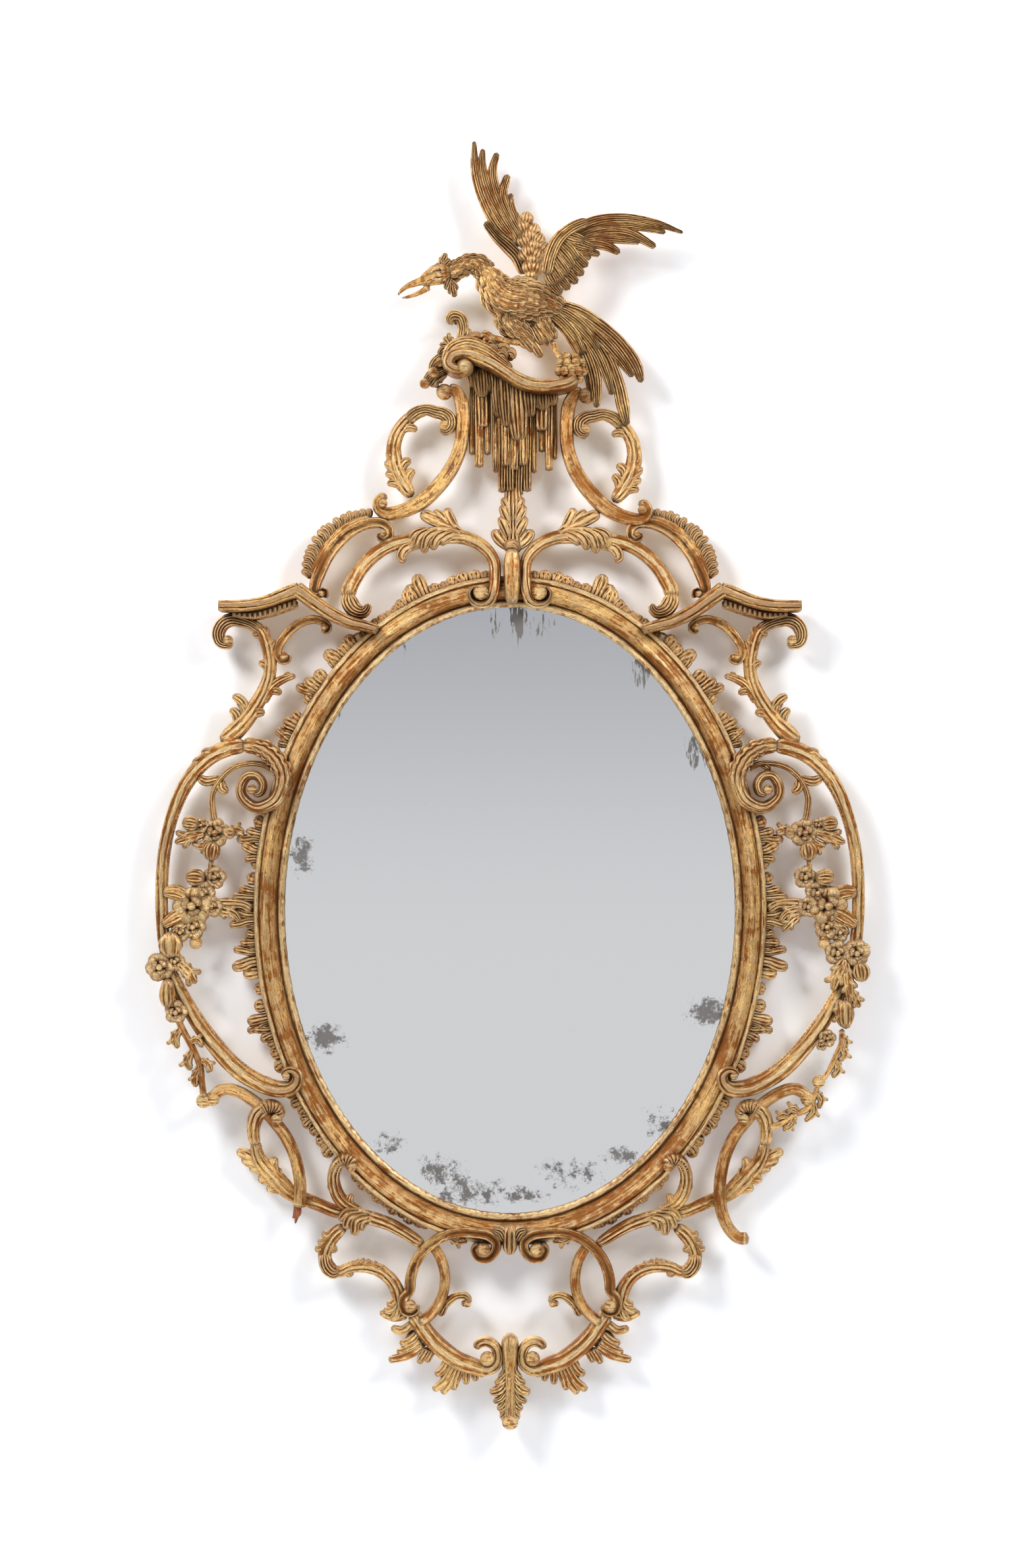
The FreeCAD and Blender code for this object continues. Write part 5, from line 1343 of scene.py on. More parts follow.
# Place across of the clasp's middle, then lines of the clasps, the pendant, the ledge and its foliage
CLASP_MIDDLE = 11
CLASP_BAND = ((8, 1083, 7, 52), (8, 1040, 10, 56), (8, 980, 10, 58), (8, 930, 8, 57), (8, 910, 5, 55))
CLASP_LEAF = (
    (11, 1062, 10, 40), (11, 1095, 12, 42), (11, 1130, 10, 42), (11, 1160, 9, 42), (11, 1192, 11, 43),
    (12, 1236, 11, 39), (12, 1280, 9, 30),
)
CLASP_LOBES = (
    ((20, 1080, 5), (62, 1108, 7), (90, 1138, 5.6)),
    ((20, 1086, 5), (48, 1118, 6), (62, 1142, 4.6)),
    ((20, 1110, 5, 44), (40, 1146, 7, 46), (62, 1178, 5.6, 44)),
    ((18, 1150, 5, 44), (38, 1182, 6.6, 46), (56, 1212, 5.4, 44)),
    ((16, 1185, 5, 42), (36, 1214, 6, 44), (52, 1234, 5, 42)),
)
BASE_BAND = ((0, -932, 6, 50), (0, -960, 9, 53), (0, -1000, 9, 53), (0, -1026, 6, 50))
BASE_CURL = ((20, -985, 5, 48), (40, -955, 8, 51), (66, -950, 6, 50))
PENDANT = (
    (0, -1262, 8), (0, -1290, 10.5), (0, -1320, 10), (0, -1350, 9.5), (0, -1400, 10), (0, -1450, 12),
    (0, -1490, 13), (0, -1515, 12), (0, -1540, 9),
)
PENDANT_TIPS = ((45, -1397), (80, -1437, 6), (50, -1488), (38, -1515), (60, -1412), (66, -1465, 4))
PENDANT_RIB = (
    (0, -1262, 8, 46), (0, -1300, 9, 50), (0, -1360, 7, 49), (0, -1430, 6, 47), (0, -1500, 6, 46),
    (0, -1545, 6, 45),
)
LEDGE = (
    (-176, 1606, 6), (-213, 1607, 7), (-236, 1622, 8), (-222, 1645, 9), (-182, 1653, 9.5),
    (-126, 1643, 9.5), (-69, 1623, 9.5), (-19, 1599, 9), (31, 1576, 9), (80, 1561, 9), (130, 1557, 8.5),
    (180, 1559, 8.5), (230, 1568, 8), (262, 1583, 6),
)
LEDGE_LEAF = (
    (-250, 1622, 6, 66), (-226, 1664, 8, 70), (-172, 1682, 9, 72), (-104, 1668, 8.5, 73),
    (-44, 1637, 7, 72), (8, 1606, 4, 70),
)
# Curls on the ledge: place across, place up and front
LEDGE_CURLS = (
    (-178, 1690, 62), (-150, 1700, 66), (-122, 1694, 63), (-96, 1690, 67), (-70, 1682, 63),
    (-44, 1670, 66), (-20, 1655, 63), (-165, 1672, 72), (-128, 1674, 73), (-90, 1664, 72),
    (-52, 1648, 72),
)
FOLIAGE_CROOK = (
    (-190, 1668, 7, 44), (-186, 1705, 7, 45), (-182, 1740, 7, 46), (-196, 1766, 8, 48),
    (-224, 1768, 9, 50), (-238, 1748, 6, 49),
)
FOLIAGE_FALL = ((-235, 1640, 6, 50), (-275, 1640, 8, 52), (-300, 1615, 6, 51), (-292, 1596, 5, 50))
# The cluster of berries: its place, and the radius, number and front of each ring
BERRIES = (237, 1607)
BERRY_RINGS = ((0, 1, 73), (8.5, 5, 71), (14.5, 9, 64))


def centre_pieces() -> list[Carving]:
    """Makes the clasps, the pendant, the ledge and its foliage.

    Returns:
        The carvings.
    """
    clasp = Carving(
        "crest_clasp",
        (
            Leaf(CLASP_BAND, 56, 24, Cut(square=0.75, channel=0.06)), Leaf(CLASP_LEAF, 42, 18, CURL),
            *(
                Leaf(
                    tuple((CLASP_MIDDLE + side * (u - CLASP_MIDDLE), *rest) for u, *rest in line), 41, 20,
                    LOBE,
                )
                for side in (1, -1)
                for line in CLASP_LOBES
            ),
            Leaf(((-20, 1075, 6, 44), (8, 1088, 10, 47), (36, 1075, 6, 44)), 46, 26, REEDED),
        ),
    )
    base = Carving(
        "base_clasp",
        (
            Leaf(BASE_BAND, 52, 24, REEDED), Leaf(BASE_CURL, 48, 26, CURL),
            Leaf(mirrored(BASE_CURL), 48, 26, CURL),
        ),
    )
    tips = tuple((side * u, *rest) for u, *rest in PENDANT_TIPS for side in (1, -1))
    pendant = Carving(
        "base_pendant",
        (
            Spray(PENDANT, CURL, 44, 12, tips, 1, 22),
            Leaf(PENDANT_RIB, 48, 24, Cut(square=0.8, channel=0.1)), Knob(0, -1522, 10, 48),
        ),
    )
    ledge = Carving(
        "perch_ledge",
        (
            Leaf(LEDGE, 74, 12, Cut(square=0.6, reeds=2.0, reed_depth=0.05, columns=44, pitch=1.4)),
            Knob(-176, 1612, 11, 80, 2.0), Leaf(LEDGE_LEAF, 70, 58, CURL),
            *(
                Leaf(
                    ((u, w - 18, 7, f - 4), (u + 18, w - 2, 9, f), (u + 42, w - 14, 5, f - 3)), 60, 52,
                    CURL,
                )
                for u, w, f in LEDGE_CURLS
            ),
        ),
    )
    u, w = BERRIES
    foliage = Carving(
        "perch_foliage",
        (
            Leaf(FOLIAGE_CROOK, 46, 26, CURL),
            Leaf(((-195, 1690, 6, 46), (-168, 1715, 6, 48), (-162, 1738, 4, 46)), 46, 28),
            Leaf(((-205, 1670, 6, 46), (-235, 1690, 6, 48), (-257, 1712, 4, 46)), 46, 28),
            Leaf(((-215, 1660, 6, 50), (-255, 1668, 7, 52), (-275, 1650, 5, 50)), 50, 28, CURL),
            Leaf(FOLIAGE_FALL, 50, 28, CURL),
            Leaf(((-250, 1620, 5, 46), (-300, 1600, 7, 48), (-332, 1575, 5, 46)), 46, 28, CURL),
            Leaf(((-245, 1605, 5, 44), (-280, 1590, 6, 46), (-310, 1563, 4, 44)), 44, 28),
            Knob(-330, 1570, 6.5, 50), Knob(-296, 1602, 7, 54), Knob(-272, 1632, 6, 55),
            Knob(u, w, 15, 66, 1.2),
            *(
                Knob(
                    u + ring * math.cos(k * math.tau / number + ring) / ACROSS_MM,
                    w + ring * math.sin(k * math.tau / number + ring) / UP_MM, 5.8, front, 1.0,
                )
                for ring, number, front in BERRY_RINGS
                for k in range(number)
            ),
        ),
    )
    return [clasp, base, pendant, ledge, foliage]


# The bird's round limbs: place across, place up, radius and depth of the middle line
TRUNK = (
    (-240, 1893, 9, 50), (-209, 1904, 9.5, 50), (-165, 1922, 9.5, 50), (-125, 1922, 10, 50),
    (-92, 1898, 11.5, 49), (-70, 1866, 15, 48), (-45, 1838, 19.5, 48), (-10, 1818, 24, 48),
    (35, 1812, 26, 48), (80, 1810, 24, 48), (125, 1806, 19, 47), (165, 1800, 13, 45), (205, 1788, 7, 43),
)
HEAD = (
    (-222, 1897, 8, 50), (-255, 1895, 12, 50), (-286, 1890, 12.5, 50), (-318, 1879, 9.5, 50),
    (-350, 1866, 6.5, 50),
)
UPPER_BEAK = (
    (-322, 1878, 6, 50), (-362, 1868, 4.6, 50), (-404, 1854, 3, 50), (-428, 1838, 1.8, 50),
    (-434, 1829, 0.8, 50),
)
LOWER_BEAK = ((-310, 1856, 4.5, 50), (-350, 1838, 3, 50), (-392, 1826, 2, 50), (-420, 1822, 0.8, 50))
THIGH = ((0, 1775, 14, 52), (0, 1745, 14, 56), (30, 1722, 11, 58), (70, 1700, 7, 58), (88, 1682, 4.5, 58))
LEG = (
    (88, 1680, 4, 58), (40, 1684, 3.6, 60), (-8, 1689, 3.4, 62), (-60, 1698, 3.4, 64),
    (-104, 1700, 3, 64),
)
FAR_THIGH = ((100, 1775, 13, 46), (125, 1740, 11, 46), (150, 1712, 7, 46), (165, 1695, 4.5, 47))
FAR_LEG = ((165, 1698, 4, 47), (175, 1670, 3.6, 50), (190, 1650, 3.6, 54), (210, 1640, 3.4, 56))
BROW = ((-312, 1884, 1.8, 62), (-298, 1898, 2.4, 64), (-272, 1904, 2.6, 65), (-250, 1896, 2, 63))
# Short feathers of the head, the throat and the thigh: place of the tip and direction
HEAD_PLUMES = ((-248, 1957, 70), (-268, 1946, 95), (-232, 1940, 50), (-288, 1926, 120))
THROAT_PLUMES = ((-213, 1824, -75), (-232, 1832, -95), (-202, 1846, -50), (-250, 1846, -110))
THIGH_PLUMES = ((123, 1643, -58), (95, 1660, -50), (70, 1672, -45), (128, 1680, -60), (40, 1690, -40))
# Long feathers: front, thickness and line from root to tip
NEAR_WING = (
    (52, 7, ((200, 1985, 6), (301, 2044, 6.5), (420, 2060, 6), (560, 2046, 5), (672, 2016, 2))),
    (51, 7, ((205, 1985, 6), (330, 2032, 6), (450, 2040, 6), (605, 2018, 3))),
    (52, 7, ((205, 1975, 6), (330, 2016, 6.5), (450, 2018, 7), (566, 1974, 4))),
    (53, 7, ((205, 1965, 6), (320, 2000, 6), (420, 1998, 6), (505, 1988, 3.5))),
    (54, 7, ((200, 1955, 6), (300, 1984, 6.5), (370, 1978, 6.5), (427, 1955, 4))),
    (55, 7, ((195, 1945, 6), (270, 1965, 6), (350, 1950, 4))),
    (64, 8, ((140, 1885, 7), (158, 1948, 7.5), (190, 1995, 7.5), (240, 2026, 7), (301, 2046, 6))),
    (55, 7, ((190, 1935, 6), (250, 1945, 6), (316, 1942, 4))),
    (56, 9, ((185, 1985, 6), (250, 1950, 7.5), (301, 1914, 5))),
    (57, 9, ((172, 1968, 6), (235, 1925, 7.5), (285, 1888, 5))),
    (57, 9, ((160, 1945, 6), (215, 1900, 7.5), (262, 1864, 5))),
    (57, 9, ((150, 1920, 6), (190, 1880, 7.5), (232, 1846, 5))),
    (57, 9, ((142, 1895, 6), (168, 1862, 7.5), (200, 1831, 5))),
    (58, 9, ((195, 2000, 6), (255, 1985, 7.5), (330, 1965, 5))),
    (60, 9, ((188, 1990, 6), (230, 1962, 7.5), (262, 1932, 5))),
    (61, 9, ((176, 1972, 6), (215, 1940, 7.5), (246, 1908, 5))),
    (61, 9, ((164, 1950, 6), (198, 1915, 7.5), (226, 1886, 5))),
    (61, 9, ((152, 1925, 6), (178, 1893, 7.5), (202, 1868, 5))),
    (61, 9, ((144, 1902, 6), (160, 1878, 7.5), (178, 1856, 5))),
    (61, 9, ((200, 2008, 6), (245, 1998, 7.5), (290, 1988, 5))),
)
FAR_WING = (
    (38, 7, ((40, 1985, 6), (-40, 2035, 7), (-100, 2120, 7), (-134, 2210, 6), (-140, 2297, 2.5))),
    (39, 7, ((40, 1990, 6), (-25, 2060, 6), (-80, 2140, 6), (-108, 2220, 5.5), (-106, 2274, 3))),
    (40, 7, ((40, 2000, 6), (-15, 2075, 6), (-55, 2150, 6), (-68, 2210, 5.5), (-50, 2262, 4))),
    (41, 7, ((50, 2010, 6), (0, 2075, 6), (-28, 2135, 6), (-8, 2196, 4.5))),
    (41, 7, ((55, 2010, 6), (18, 2065, 6), (0, 2105, 5.5), (5, 2140, 3.5))),
    (41, 7, ((60, 2010, 5), (30, 2055, 5), (20, 2085, 3.5))),
    (42, 14, ((60, 1900, 8), (28, 1950, 8), (-10, 1982, 8), (-50, 2010, 6.5), (-98, 2056, 5))),
)
TAIL = (
    (46, 9, (
        (150, 1812, 7), (270, 1783, 8), (350, 1742, 8), (430, 1688, 8), (490, 1622, 7.5), (511, 1573, 4),
    )),
    (47, 9, ((160, 1800, 7), (260, 1765, 8), (340, 1715, 8), (420, 1650, 7), (478, 1590, 4))),
    (45, 9, (
        (165, 1795, 7), (280, 1738, 8), (365, 1665, 8), (420, 1570, 8), (440, 1500, 8), (455, 1446, 4),
    )),
    (48, 9, ((160, 1790, 6), (250, 1745, 7), (330, 1670, 7), (375, 1595, 6), (397, 1535, 3.5))),
    (46, 9, ((150, 1785, 6), (235, 1735, 8), (295, 1665, 8), (330, 1585, 8), (337, 1498, 4))),
    (44, 9, ((150, 1780, 6), (215, 1735, 7), (265, 1675, 7), (300, 1610, 6), (318, 1520, 3.5))),
    (50, 9, ((140, 1800, 6), (230, 1770, 7), (300, 1722, 7), (345, 1670, 4))),
    (51, 9, ((130, 1790, 6), (200, 1755, 7), (255, 1705, 7), (285, 1655, 4))),
)
# Tufts of down on the far wing: place of the tip, direction and front
TUFTS = (
    (69, 2088, 80, 42), (40, 2062, 110, 43), (102, 2052, 70, 43), (72, 2036, 95, 45), (125, 2022, 60, 44),
    (42, 2018, 115, 45), (98, 2006, 80, 46), (146, 1996, 55, 44), (66, 1988, 100, 47),
    (120, 1976, 70, 47), (92, 1962, 88, 48), (40, 1972, 125, 46), (66, 1940, 105, 48),
    (112, 1938, 75, 48), (84, 1915, 90, 48),
)


def bird() -> list[Carving]:
    """Makes the bird: its body, wings, tail and legs.

    Returns:
        The carvings.
    """
    body = Carving(
        "bird_body",
        (
            Limb(TRUNK, 48, PLUMAGE),
            Limb(HEAD, 50, Cut(square=1.0, scales=7.0, scale_depth=0.05, columns=48, pitch=1.0)),
            Limb(UPPER_BEAK, 50), Limb(LOWER_BEAK, 50), Knob(-275, 1888, 4.4, 66, 1.0),
            Leaf(BROW, 64, 52, PLAIN),
            Leaf(((-300, 1878, 1.6, 62), (-280, 1872, 2, 64), (-255, 1878, 1.8, 63)), 63, 52, PLAIN),
            *(covert(u, w, angle, 4.5, 20, 56) for u, w, angle in HEAD_PLUMES),
            *(covert(u, w, angle, 4.5, 18, 57) for u, w, angle in THROAT_PLUMES),
            Plumage(TRUNK[:5], 6.0, 3.2, 12.0), Plumage(TRUNK[4:]),
        ),
    )
    near = Carving("bird_wing_near", tuple(feather(*row) for row in NEAR_WING))
    far = Carving(
        "bird_wing_far",
        (
            *(feather(*row) for row in FAR_WING),
            *(tuft(u, w, angle, 9, 20, front) for u, w, angle, front in TUFTS),
        ),
    )
    tail = Carving("bird_tail", tuple(feather(*row) for row in TAIL))
    legs = Carving(
        "bird_legs",
        (
            Limb(THIGH, 56, PLUMAGE), Plumage(THIGH, 7.0, 4.2, 15.0), Limb(LEG, 60, SHANK),
            *(
                Limb(((-60, 1698, 3, 64), (u, w + 3, 2.6, 65), (u - 8, w - 6, 1.6, 64)), 64)
                for u, w in ((-100, 1712), (-112, 1700), (-100, 1688))
            ),
            *(covert(u, w, angle, 6, 26, 64) for u, w, angle in THIGH_PLUMES),
            Limb(FAR_THIGH, 46, PLUMAGE), Plumage(FAR_THIGH, 7.0, 4.2, 14.0), Limb(FAR_LEG, 50, SHANK),
            *(
                Limb(((195, 1650, 3, 55), (u, w, 2.8, 60), (u + 10, w - 12, 1.6, 62)), 58)
                for u, w in ((225, 1652), (212, 1636), (200, 1625))
            ),
        ),
    )
    return [body, near, far, tail, legs]


Colour = tuple[float, float, float, float]
Wire = bpy.types.NodeSocket | float | Colour | tuple[float, float, float]


class Graph:
    """A node tree with short ways of adding and linking its nodes."""

    def __init__(self, tree: bpy.types.NodeTree) -> None:
        """Takes the tree that is filled."""
        self.tree = tree

    def add(
        self, kind: str, wires: dict[str | int, Wire] | None = None, **settings: object,
    ) -> bpy.types.Node:
        """Adds a node.

        Args:
            kind: the node's type.
            wires: values or sockets for its inputs, by name or number.
            settings: the node's own settings.

        Returns:
            The node.
        """
        node = self.tree.nodes.new(kind)
        for name, value in settings.items():
            setattr(node, name, value)
        for name, value in (wires or {}).items():
            if isinstance(value, bpy.types.NodeSocket):
                self.tree.links.new(value, node.inputs[name])
            else:
                node.inputs[name].default_value = value
        return node

    def noise(
        self, vector: Wire, scale: float, detail: float = 4.0, rough: float = 0.55,
    ) -> bpy.types.NodeSocket:
        """Adds a noise with its scale, its octaves and the strength of the fine ones."""
        wires = {"Vector": vector, "Scale": scale, "Detail": detail, "Roughness": rough}
        return self.add("ShaderNodeTexNoise", wires).outputs["Fac"]

    def ramp(
        self, value: Wire, low: float, high: float, to_low: float = 0.0, to_high: float = 1.0,
    ) -> bpy.types.NodeSocket:
        """Adds a smooth step between two levels, with the values before and after it."""
        wires = {"Value": value, "From Min": low, "From Max": high, "To Min": to_low, "To Max": to_high}
        return self.add("ShaderNodeMapRange", wires, interpolation_type="SMOOTHSTEP").outputs["Result"]

    def math(self, operation: str, a: Wire, b: Wire = 0.0) -> bpy.types.NodeSocket:
        """Adds a sum of one or two values."""
        return self.add("ShaderNodeMath", {0: a, 1: b}, operation=operation).outputs[0]

    def mix(self, share: Wire, a: Wire, b: Wire) -> bpy.types.NodeSocket:
        """Mixes two colours by the share of the second."""
        return self.add("ShaderNodeMix", {0: share, 6: a, 7: b}, data_type="RGBA").outputs[2]


def new_material(name: str) -> tuple[bpy.types.Material, Graph, bpy.types.Node]:
    """Starts a material.

    Args:
        name: its name.

    Returns:
        The material, its graph and its surface shader.
    """
    material = bpy.data.materials.new(name)
    material.use_nodes = True
    shader = material.node_tree.nodes["Principled BSDF"]
    return material, Graph(material.node_tree), shader


def wear_and_painted_light_group() -> bpy.types.NodeTree:
    """Builds the shared marks of old gilding: rubbed tips and patches, grime, hairline cracks and grain,
    with a painted highlight on ridges and painted shade in hollows.

    Returns:
        The node group.
    """
    tree = bpy.data.node_groups.new("gilders_wear_and_painted_light", "ShaderNodeTree")
    face = tree.interface
    for name in ("Relief", "Run", "Side"):
        face.new_socket(name, in_out="INPUT", socket_type="NodeSocketFloat")
    for name in ("Ridge", "Rubbed", "GrimeAndPaintedShade", "Tone", "Chip", "Grain"):
        face.new_socket(name, in_out="OUTPUT", socket_type="NodeSocketFloat")
    g = Graph(tree)
    given = g.add("NodeGroupInput").outputs
    relief = given["Relief"]
    place = g.add("ShaderNodeTexCoord").outputs["Object"]
    height = g.add("ShaderNodeSeparateXYZ", {0: place}).outputs["Z"]
    broad = g.noise(place, 16.0, 3.0)
    patch = g.noise(place, 95.0, 6.0, 0.65)
    fine = g.noise(place, 520.0, 3.0, 0.6)

    def drawn(along: float, across: float) -> bpy.types.NodeSocket:
        """Adds a noise that is drawn out along the carving.

        Args:
            along: its scale along the run.
            across: its scale across it.

        Returns:
            Its value.
        """
        run = g.math("MULTIPLY", given["Run"], along)
        side = g.math("MULTIPLY", given["Side"], across)
        spot = g.add("ShaderNodeCombineXYZ", {0: run, 1: side, 2: g.math("MULTIPLY", height, 4.0)})
        return g.noise(spot.outputs[0], 1.0, 5.0, 0.65)

    streak = drawn(0.02, 0.34)
    hair = drawn(0.05, 1.3)
    mottle = g.math("ADD", g.math("MULTIPLY", patch, 0.45), g.math("MULTIPLY", streak, 0.55))
    swing = g.math("SUBTRACT", mottle, 0.5)
    ridge = g.ramp(g.math("ADD", relief, g.math("MULTIPLY", swing, 0.5)), 0.52, 0.62)
    bald = g.math("MULTIPLY", g.ramp(mottle, 0.51, 0.56), g.ramp(broad, 0.36, 0.54, 0.4, 1.0))
    low = g.math("SUBTRACT", relief, g.math("MULTIPLY", swing, 0.35))
    crack = g.add("ShaderNodeTexVoronoi", {"Vector": place, "Scale": 150.0}, feature="DISTANCE_TO_EDGE")
    line = g.math("MULTIPLY", g.ramp(crack.outputs["Distance"], 0.03, 0.0), g.ramp(broad, 0.52, 0.62))
    smear = g.ramp(g.math("ADD", streak, g.math("MULTIPLY", fine, 0.3)), 0.6, 0.49, 0.0, 0.6)
    scratch = g.ramp(g.math("ADD", hair, g.math("MULTIPLY", fine, 0.2)), 0.55, 0.48, 0.0, 0.65)
    tip = g.ramp(g.math("ADD", relief, g.math("MULTIPLY", swing, 0.6)), 0.58, 0.72, 0.0, 0.8)
    chip = g.math(
        "MULTIPLY", g.ramp(g.math("ADD", patch, g.math("MULTIPLY", relief, 0.25)), 0.83, 0.87), 0.85,
    )
    # Hollows darken towards umber: painted shade, joined with real smears, scratches and cracks
    soil_and_painted_shade = g.math("MAXIMUM", g.ramp(low, 0.485, 0.36), g.math("MAXIMUM", smear, scratch))
    out = g.add("NodeGroupOutput")
    results = {
        "Ridge": ridge,
        "Rubbed": g.math("MAXIMUM", tip, g.math("MULTIPLY", bald, g.ramp(ridge, 0.0, 1.0, 1.0, 0.35))),
        "GrimeAndPaintedShade": g.math("MAXIMUM", soil_and_painted_shade, g.math("MULTIPLY", line, 0.6)),
        "Tone": g.math("ADD", g.math("MULTIPLY", broad, 0.35), g.math("MULTIPLY", mottle, 0.65)),
        "Chip": chip,
        "Grain": g.math(
            "ADD", g.math("MULTIPLY", fine, 0.45), g.math("ADD", g.math("MULTIPLY", mottle, 0.7), hair),
        ),
    }
    for name, socket in results.items():
        tree.links.new(socket, out.inputs[name])
    return tree


@dataclass(frozen=True)
class Gilding:
    """Old water gilding over red bole, with a painted highlight on ridges and painted shade in hollows and
    recesses.
    """

    # Pale gold of the ridges: part real burnish, part painted highlight
    burnish_and_painted_highlight: Colour = (1.0, 0.81, 0.45, 1)
    bright: Colour = (0.95, 0.6, 0.225, 1)
    deep: Colour = (0.42, 0.155, 0.038, 1)
    bole: Colour = (0.28, 0.07, 0.025, 1)
    # Umber is used both for real grime and for painted shade in hollows and recesses
    umber: Colour = (0.035, 0.013, 0.005, 1)
    gesso: Colour = (0.75, 0.68, 0.55, 1)

    def make(self, wear_and_light: bpy.types.NodeTree) -> bpy.types.Material:
        """Builds the material.

        Args:
            wear_and_light: the shared wear.

        Returns:
            The material.
        """
        material, g, shader = new_material("old_gilding")
        worn_and_shaded = g.add("ShaderNodeGroup", node_tree=wear_and_light)
        for name in ("relief", "run", "side"):
            read = g.add("ShaderNodeAttribute", attribute_name=name).outputs["Fac"]
            g.tree.links.new(read, worn_and_shaded.inputs[name.capitalize()])
        gold = g.mix(g.ramp(worn_and_shaded.outputs["Tone"], 0.45, 0.54), self.deep, self.bright)
        # Ridges turn a paler gold: part real burnish, part painted highlight
        gold = g.mix(g.math("MULTIPLY", worn_and_shaded.outputs["Ridge"], 0.8), gold, self.burnish_and_painted_highlight)
        rubbed = g.math("MULTIPLY", worn_and_shaded.outputs["Rubbed"], 0.8)
        # Painted shade: ambient occlusion darkens recesses and the gaps between parts towards umber
        shade = g.add("ShaderNodeAmbientOcclusion", {"Distance": 0.012}, samples=6).outputs["AO"]
        grime_and_painted_shade = g.math("MAXIMUM", worn_and_shaded.outputs["GrimeAndPaintedShade"], g.ramp(shade, 0.72, 0.22))
        grime_and_painted_shade = g.math("MULTIPLY", grime_and_painted_shade, 0.88)
        colour = g.mix(grime_and_painted_shade, g.mix(rubbed, gold, self.bole), self.umber)
        colour = g.mix(worn_and_shaded.outputs["Chip"], colour, self.gesso)
        g.tree.links.new(colour, shader.inputs["Base Color"])
        bare = g.math(
            "MAXIMUM", g.math("MAXIMUM", g.math("MULTIPLY", rubbed, 0.8), grime_and_painted_shade), worn_and_shaded.outputs["Chip"],
        )
        g.tree.links.new(g.ramp(bare, 0.0, 1.0, 0.92, 0.4), shader.inputs["Metallic"])
        shader.inputs["Specular IOR Level"].default_value = 0.15
        g.tree.links.new(g.ramp(bare, 0.0, 0.9, 0.29, 0.6), shader.inputs["Roughness"])
        bump = g.add(
            "ShaderNodeBump", {"Height": worn_and_shaded.outputs["Grain"], "Strength": 0.8, "Distance": 0.002},
        )
        g.tree.links.new(bump.outputs["Normal"], shader.inputs["Normal"])
        return material


@dataclass(frozen=True)
class Silvering:
    """Old silvered glass with foxing; each spot is its place, its spread across and up, and its strength."""

    spots: Table = (
        (30, 880, 34, 90, 1.0), (-60, 860, 24, 40, 0.7), (120, 850, 50, 40, 0.7),
        (-413, 778, 14, 30, 0.7), (-672, 579, 16, 26, 0.6), (518, 740, 50, 80, 1.0),
        (731, 486, 50, 60, 0.9), (-810, 169, 50, 90, 1.0), (-718, -382, 90, 50, 1.0),
        (770, -305, 100, 50, 1.0), (600, -640, 90, 60, 1.0), (-262, -780, 110, 60, 1.0),
        (-154, -839, 170, 50, 1.0), (228, -790, 150, 60, 1.0), (60, -850, 120, 30, 0.9),
        (430, -740, 80, 40, 0.8), (-480, -700, 90, 40, 0.8), (-60, -640, 20, 20, 0.6),
        (250, -360, 14, 12, 0.7), (-330, 330, 9, 14, 0.6),
    )
    silver: Colour = (0.84, 0.845, 0.855, 1)
    streaked_from: float = 400.0
    tarnish: Colour = (0.1, 0.1, 0.1, 1)
    stain: Colour = (0.2, 0.185, 0.17, 1)

    def make(self, sheet: Sheet) -> bpy.types.Material:
        """Builds the material.

        Args:
            sheet: the carver's sheet, for the spots' places.

        Returns:
            The material.
        """
        material, g, shader = new_material("old_silvering")
        place = g.add("ShaderNodeTexCoord").outputs["Object"]
        tall = g.add(
            "ShaderNodeVectorMath", {0: place, 1: (1.0, 1.0, 0.2)}, operation="MULTIPLY",
        ).outputs[0]
        coarse = g.noise(place, 21.0, 5.0, 0.6)
        ferny = g.noise(place, 105.0, 10.0, 0.74)
        streaked = g.noise(tall, 260.0, 4.0, 0.6)
        fox: Wire = 0.0
        for upper, grain, low, high in ((True, streaked, 0.64, 0.71), (False, ferny, 0.66, 0.75)):
            total: Wire = 0.0
            for u, w, across, up, strength in self.spots:
                if (w > self.streaked_from) is not upper:
                    continue
                x, z = sheet.spot(u, w)
                spread = (across * sheet.half_width * 1e-6, 1.0, up * sheet.half_height * 1e-6)
                middle = (x / 1000, 0.0, z / 1000 + sheet.centre)
                away = g.add("ShaderNodeVectorMath", {0: place, 1: middle}, operation="SUBTRACT").outputs[0]
                near = g.add("ShaderNodeVectorMath", {0: away, 1: spread}, operation="DIVIDE").outputs[0]
                reach = g.add("ShaderNodeVectorMath", {0: near}, operation="LENGTH").outputs["Value"]
                total = g.math("MAXIMUM", total, g.math("MULTIPLY", g.ramp(reach, 1.7, 0.2), strength))
            level = g.math(
                "ADD", g.math("ADD", g.math("MULTIPLY", grain, 0.75), g.math("MULTIPLY", coarse, 0.25)),
                g.math("MULTIPLY", total, 0.24),
            )
            fox = g.math(
                "MAXIMUM", fox, g.math("MULTIPLY", g.ramp(level, low, high), g.ramp(total, 0.02, 0.3)),
            )
        tarnish = g.mix(coarse, self.tarnish, self.stain)
        g.tree.links.new(g.mix(fox, self.silver, tarnish), shader.inputs["Base Color"])
        g.tree.links.new(g.ramp(fox, 0, 1, 1.0, 0.3), shader.inputs["Metallic"])
        g.tree.links.new(g.ramp(fox, 0, 1, 0.06, 0.55), shader.inputs["Roughness"])
        return material


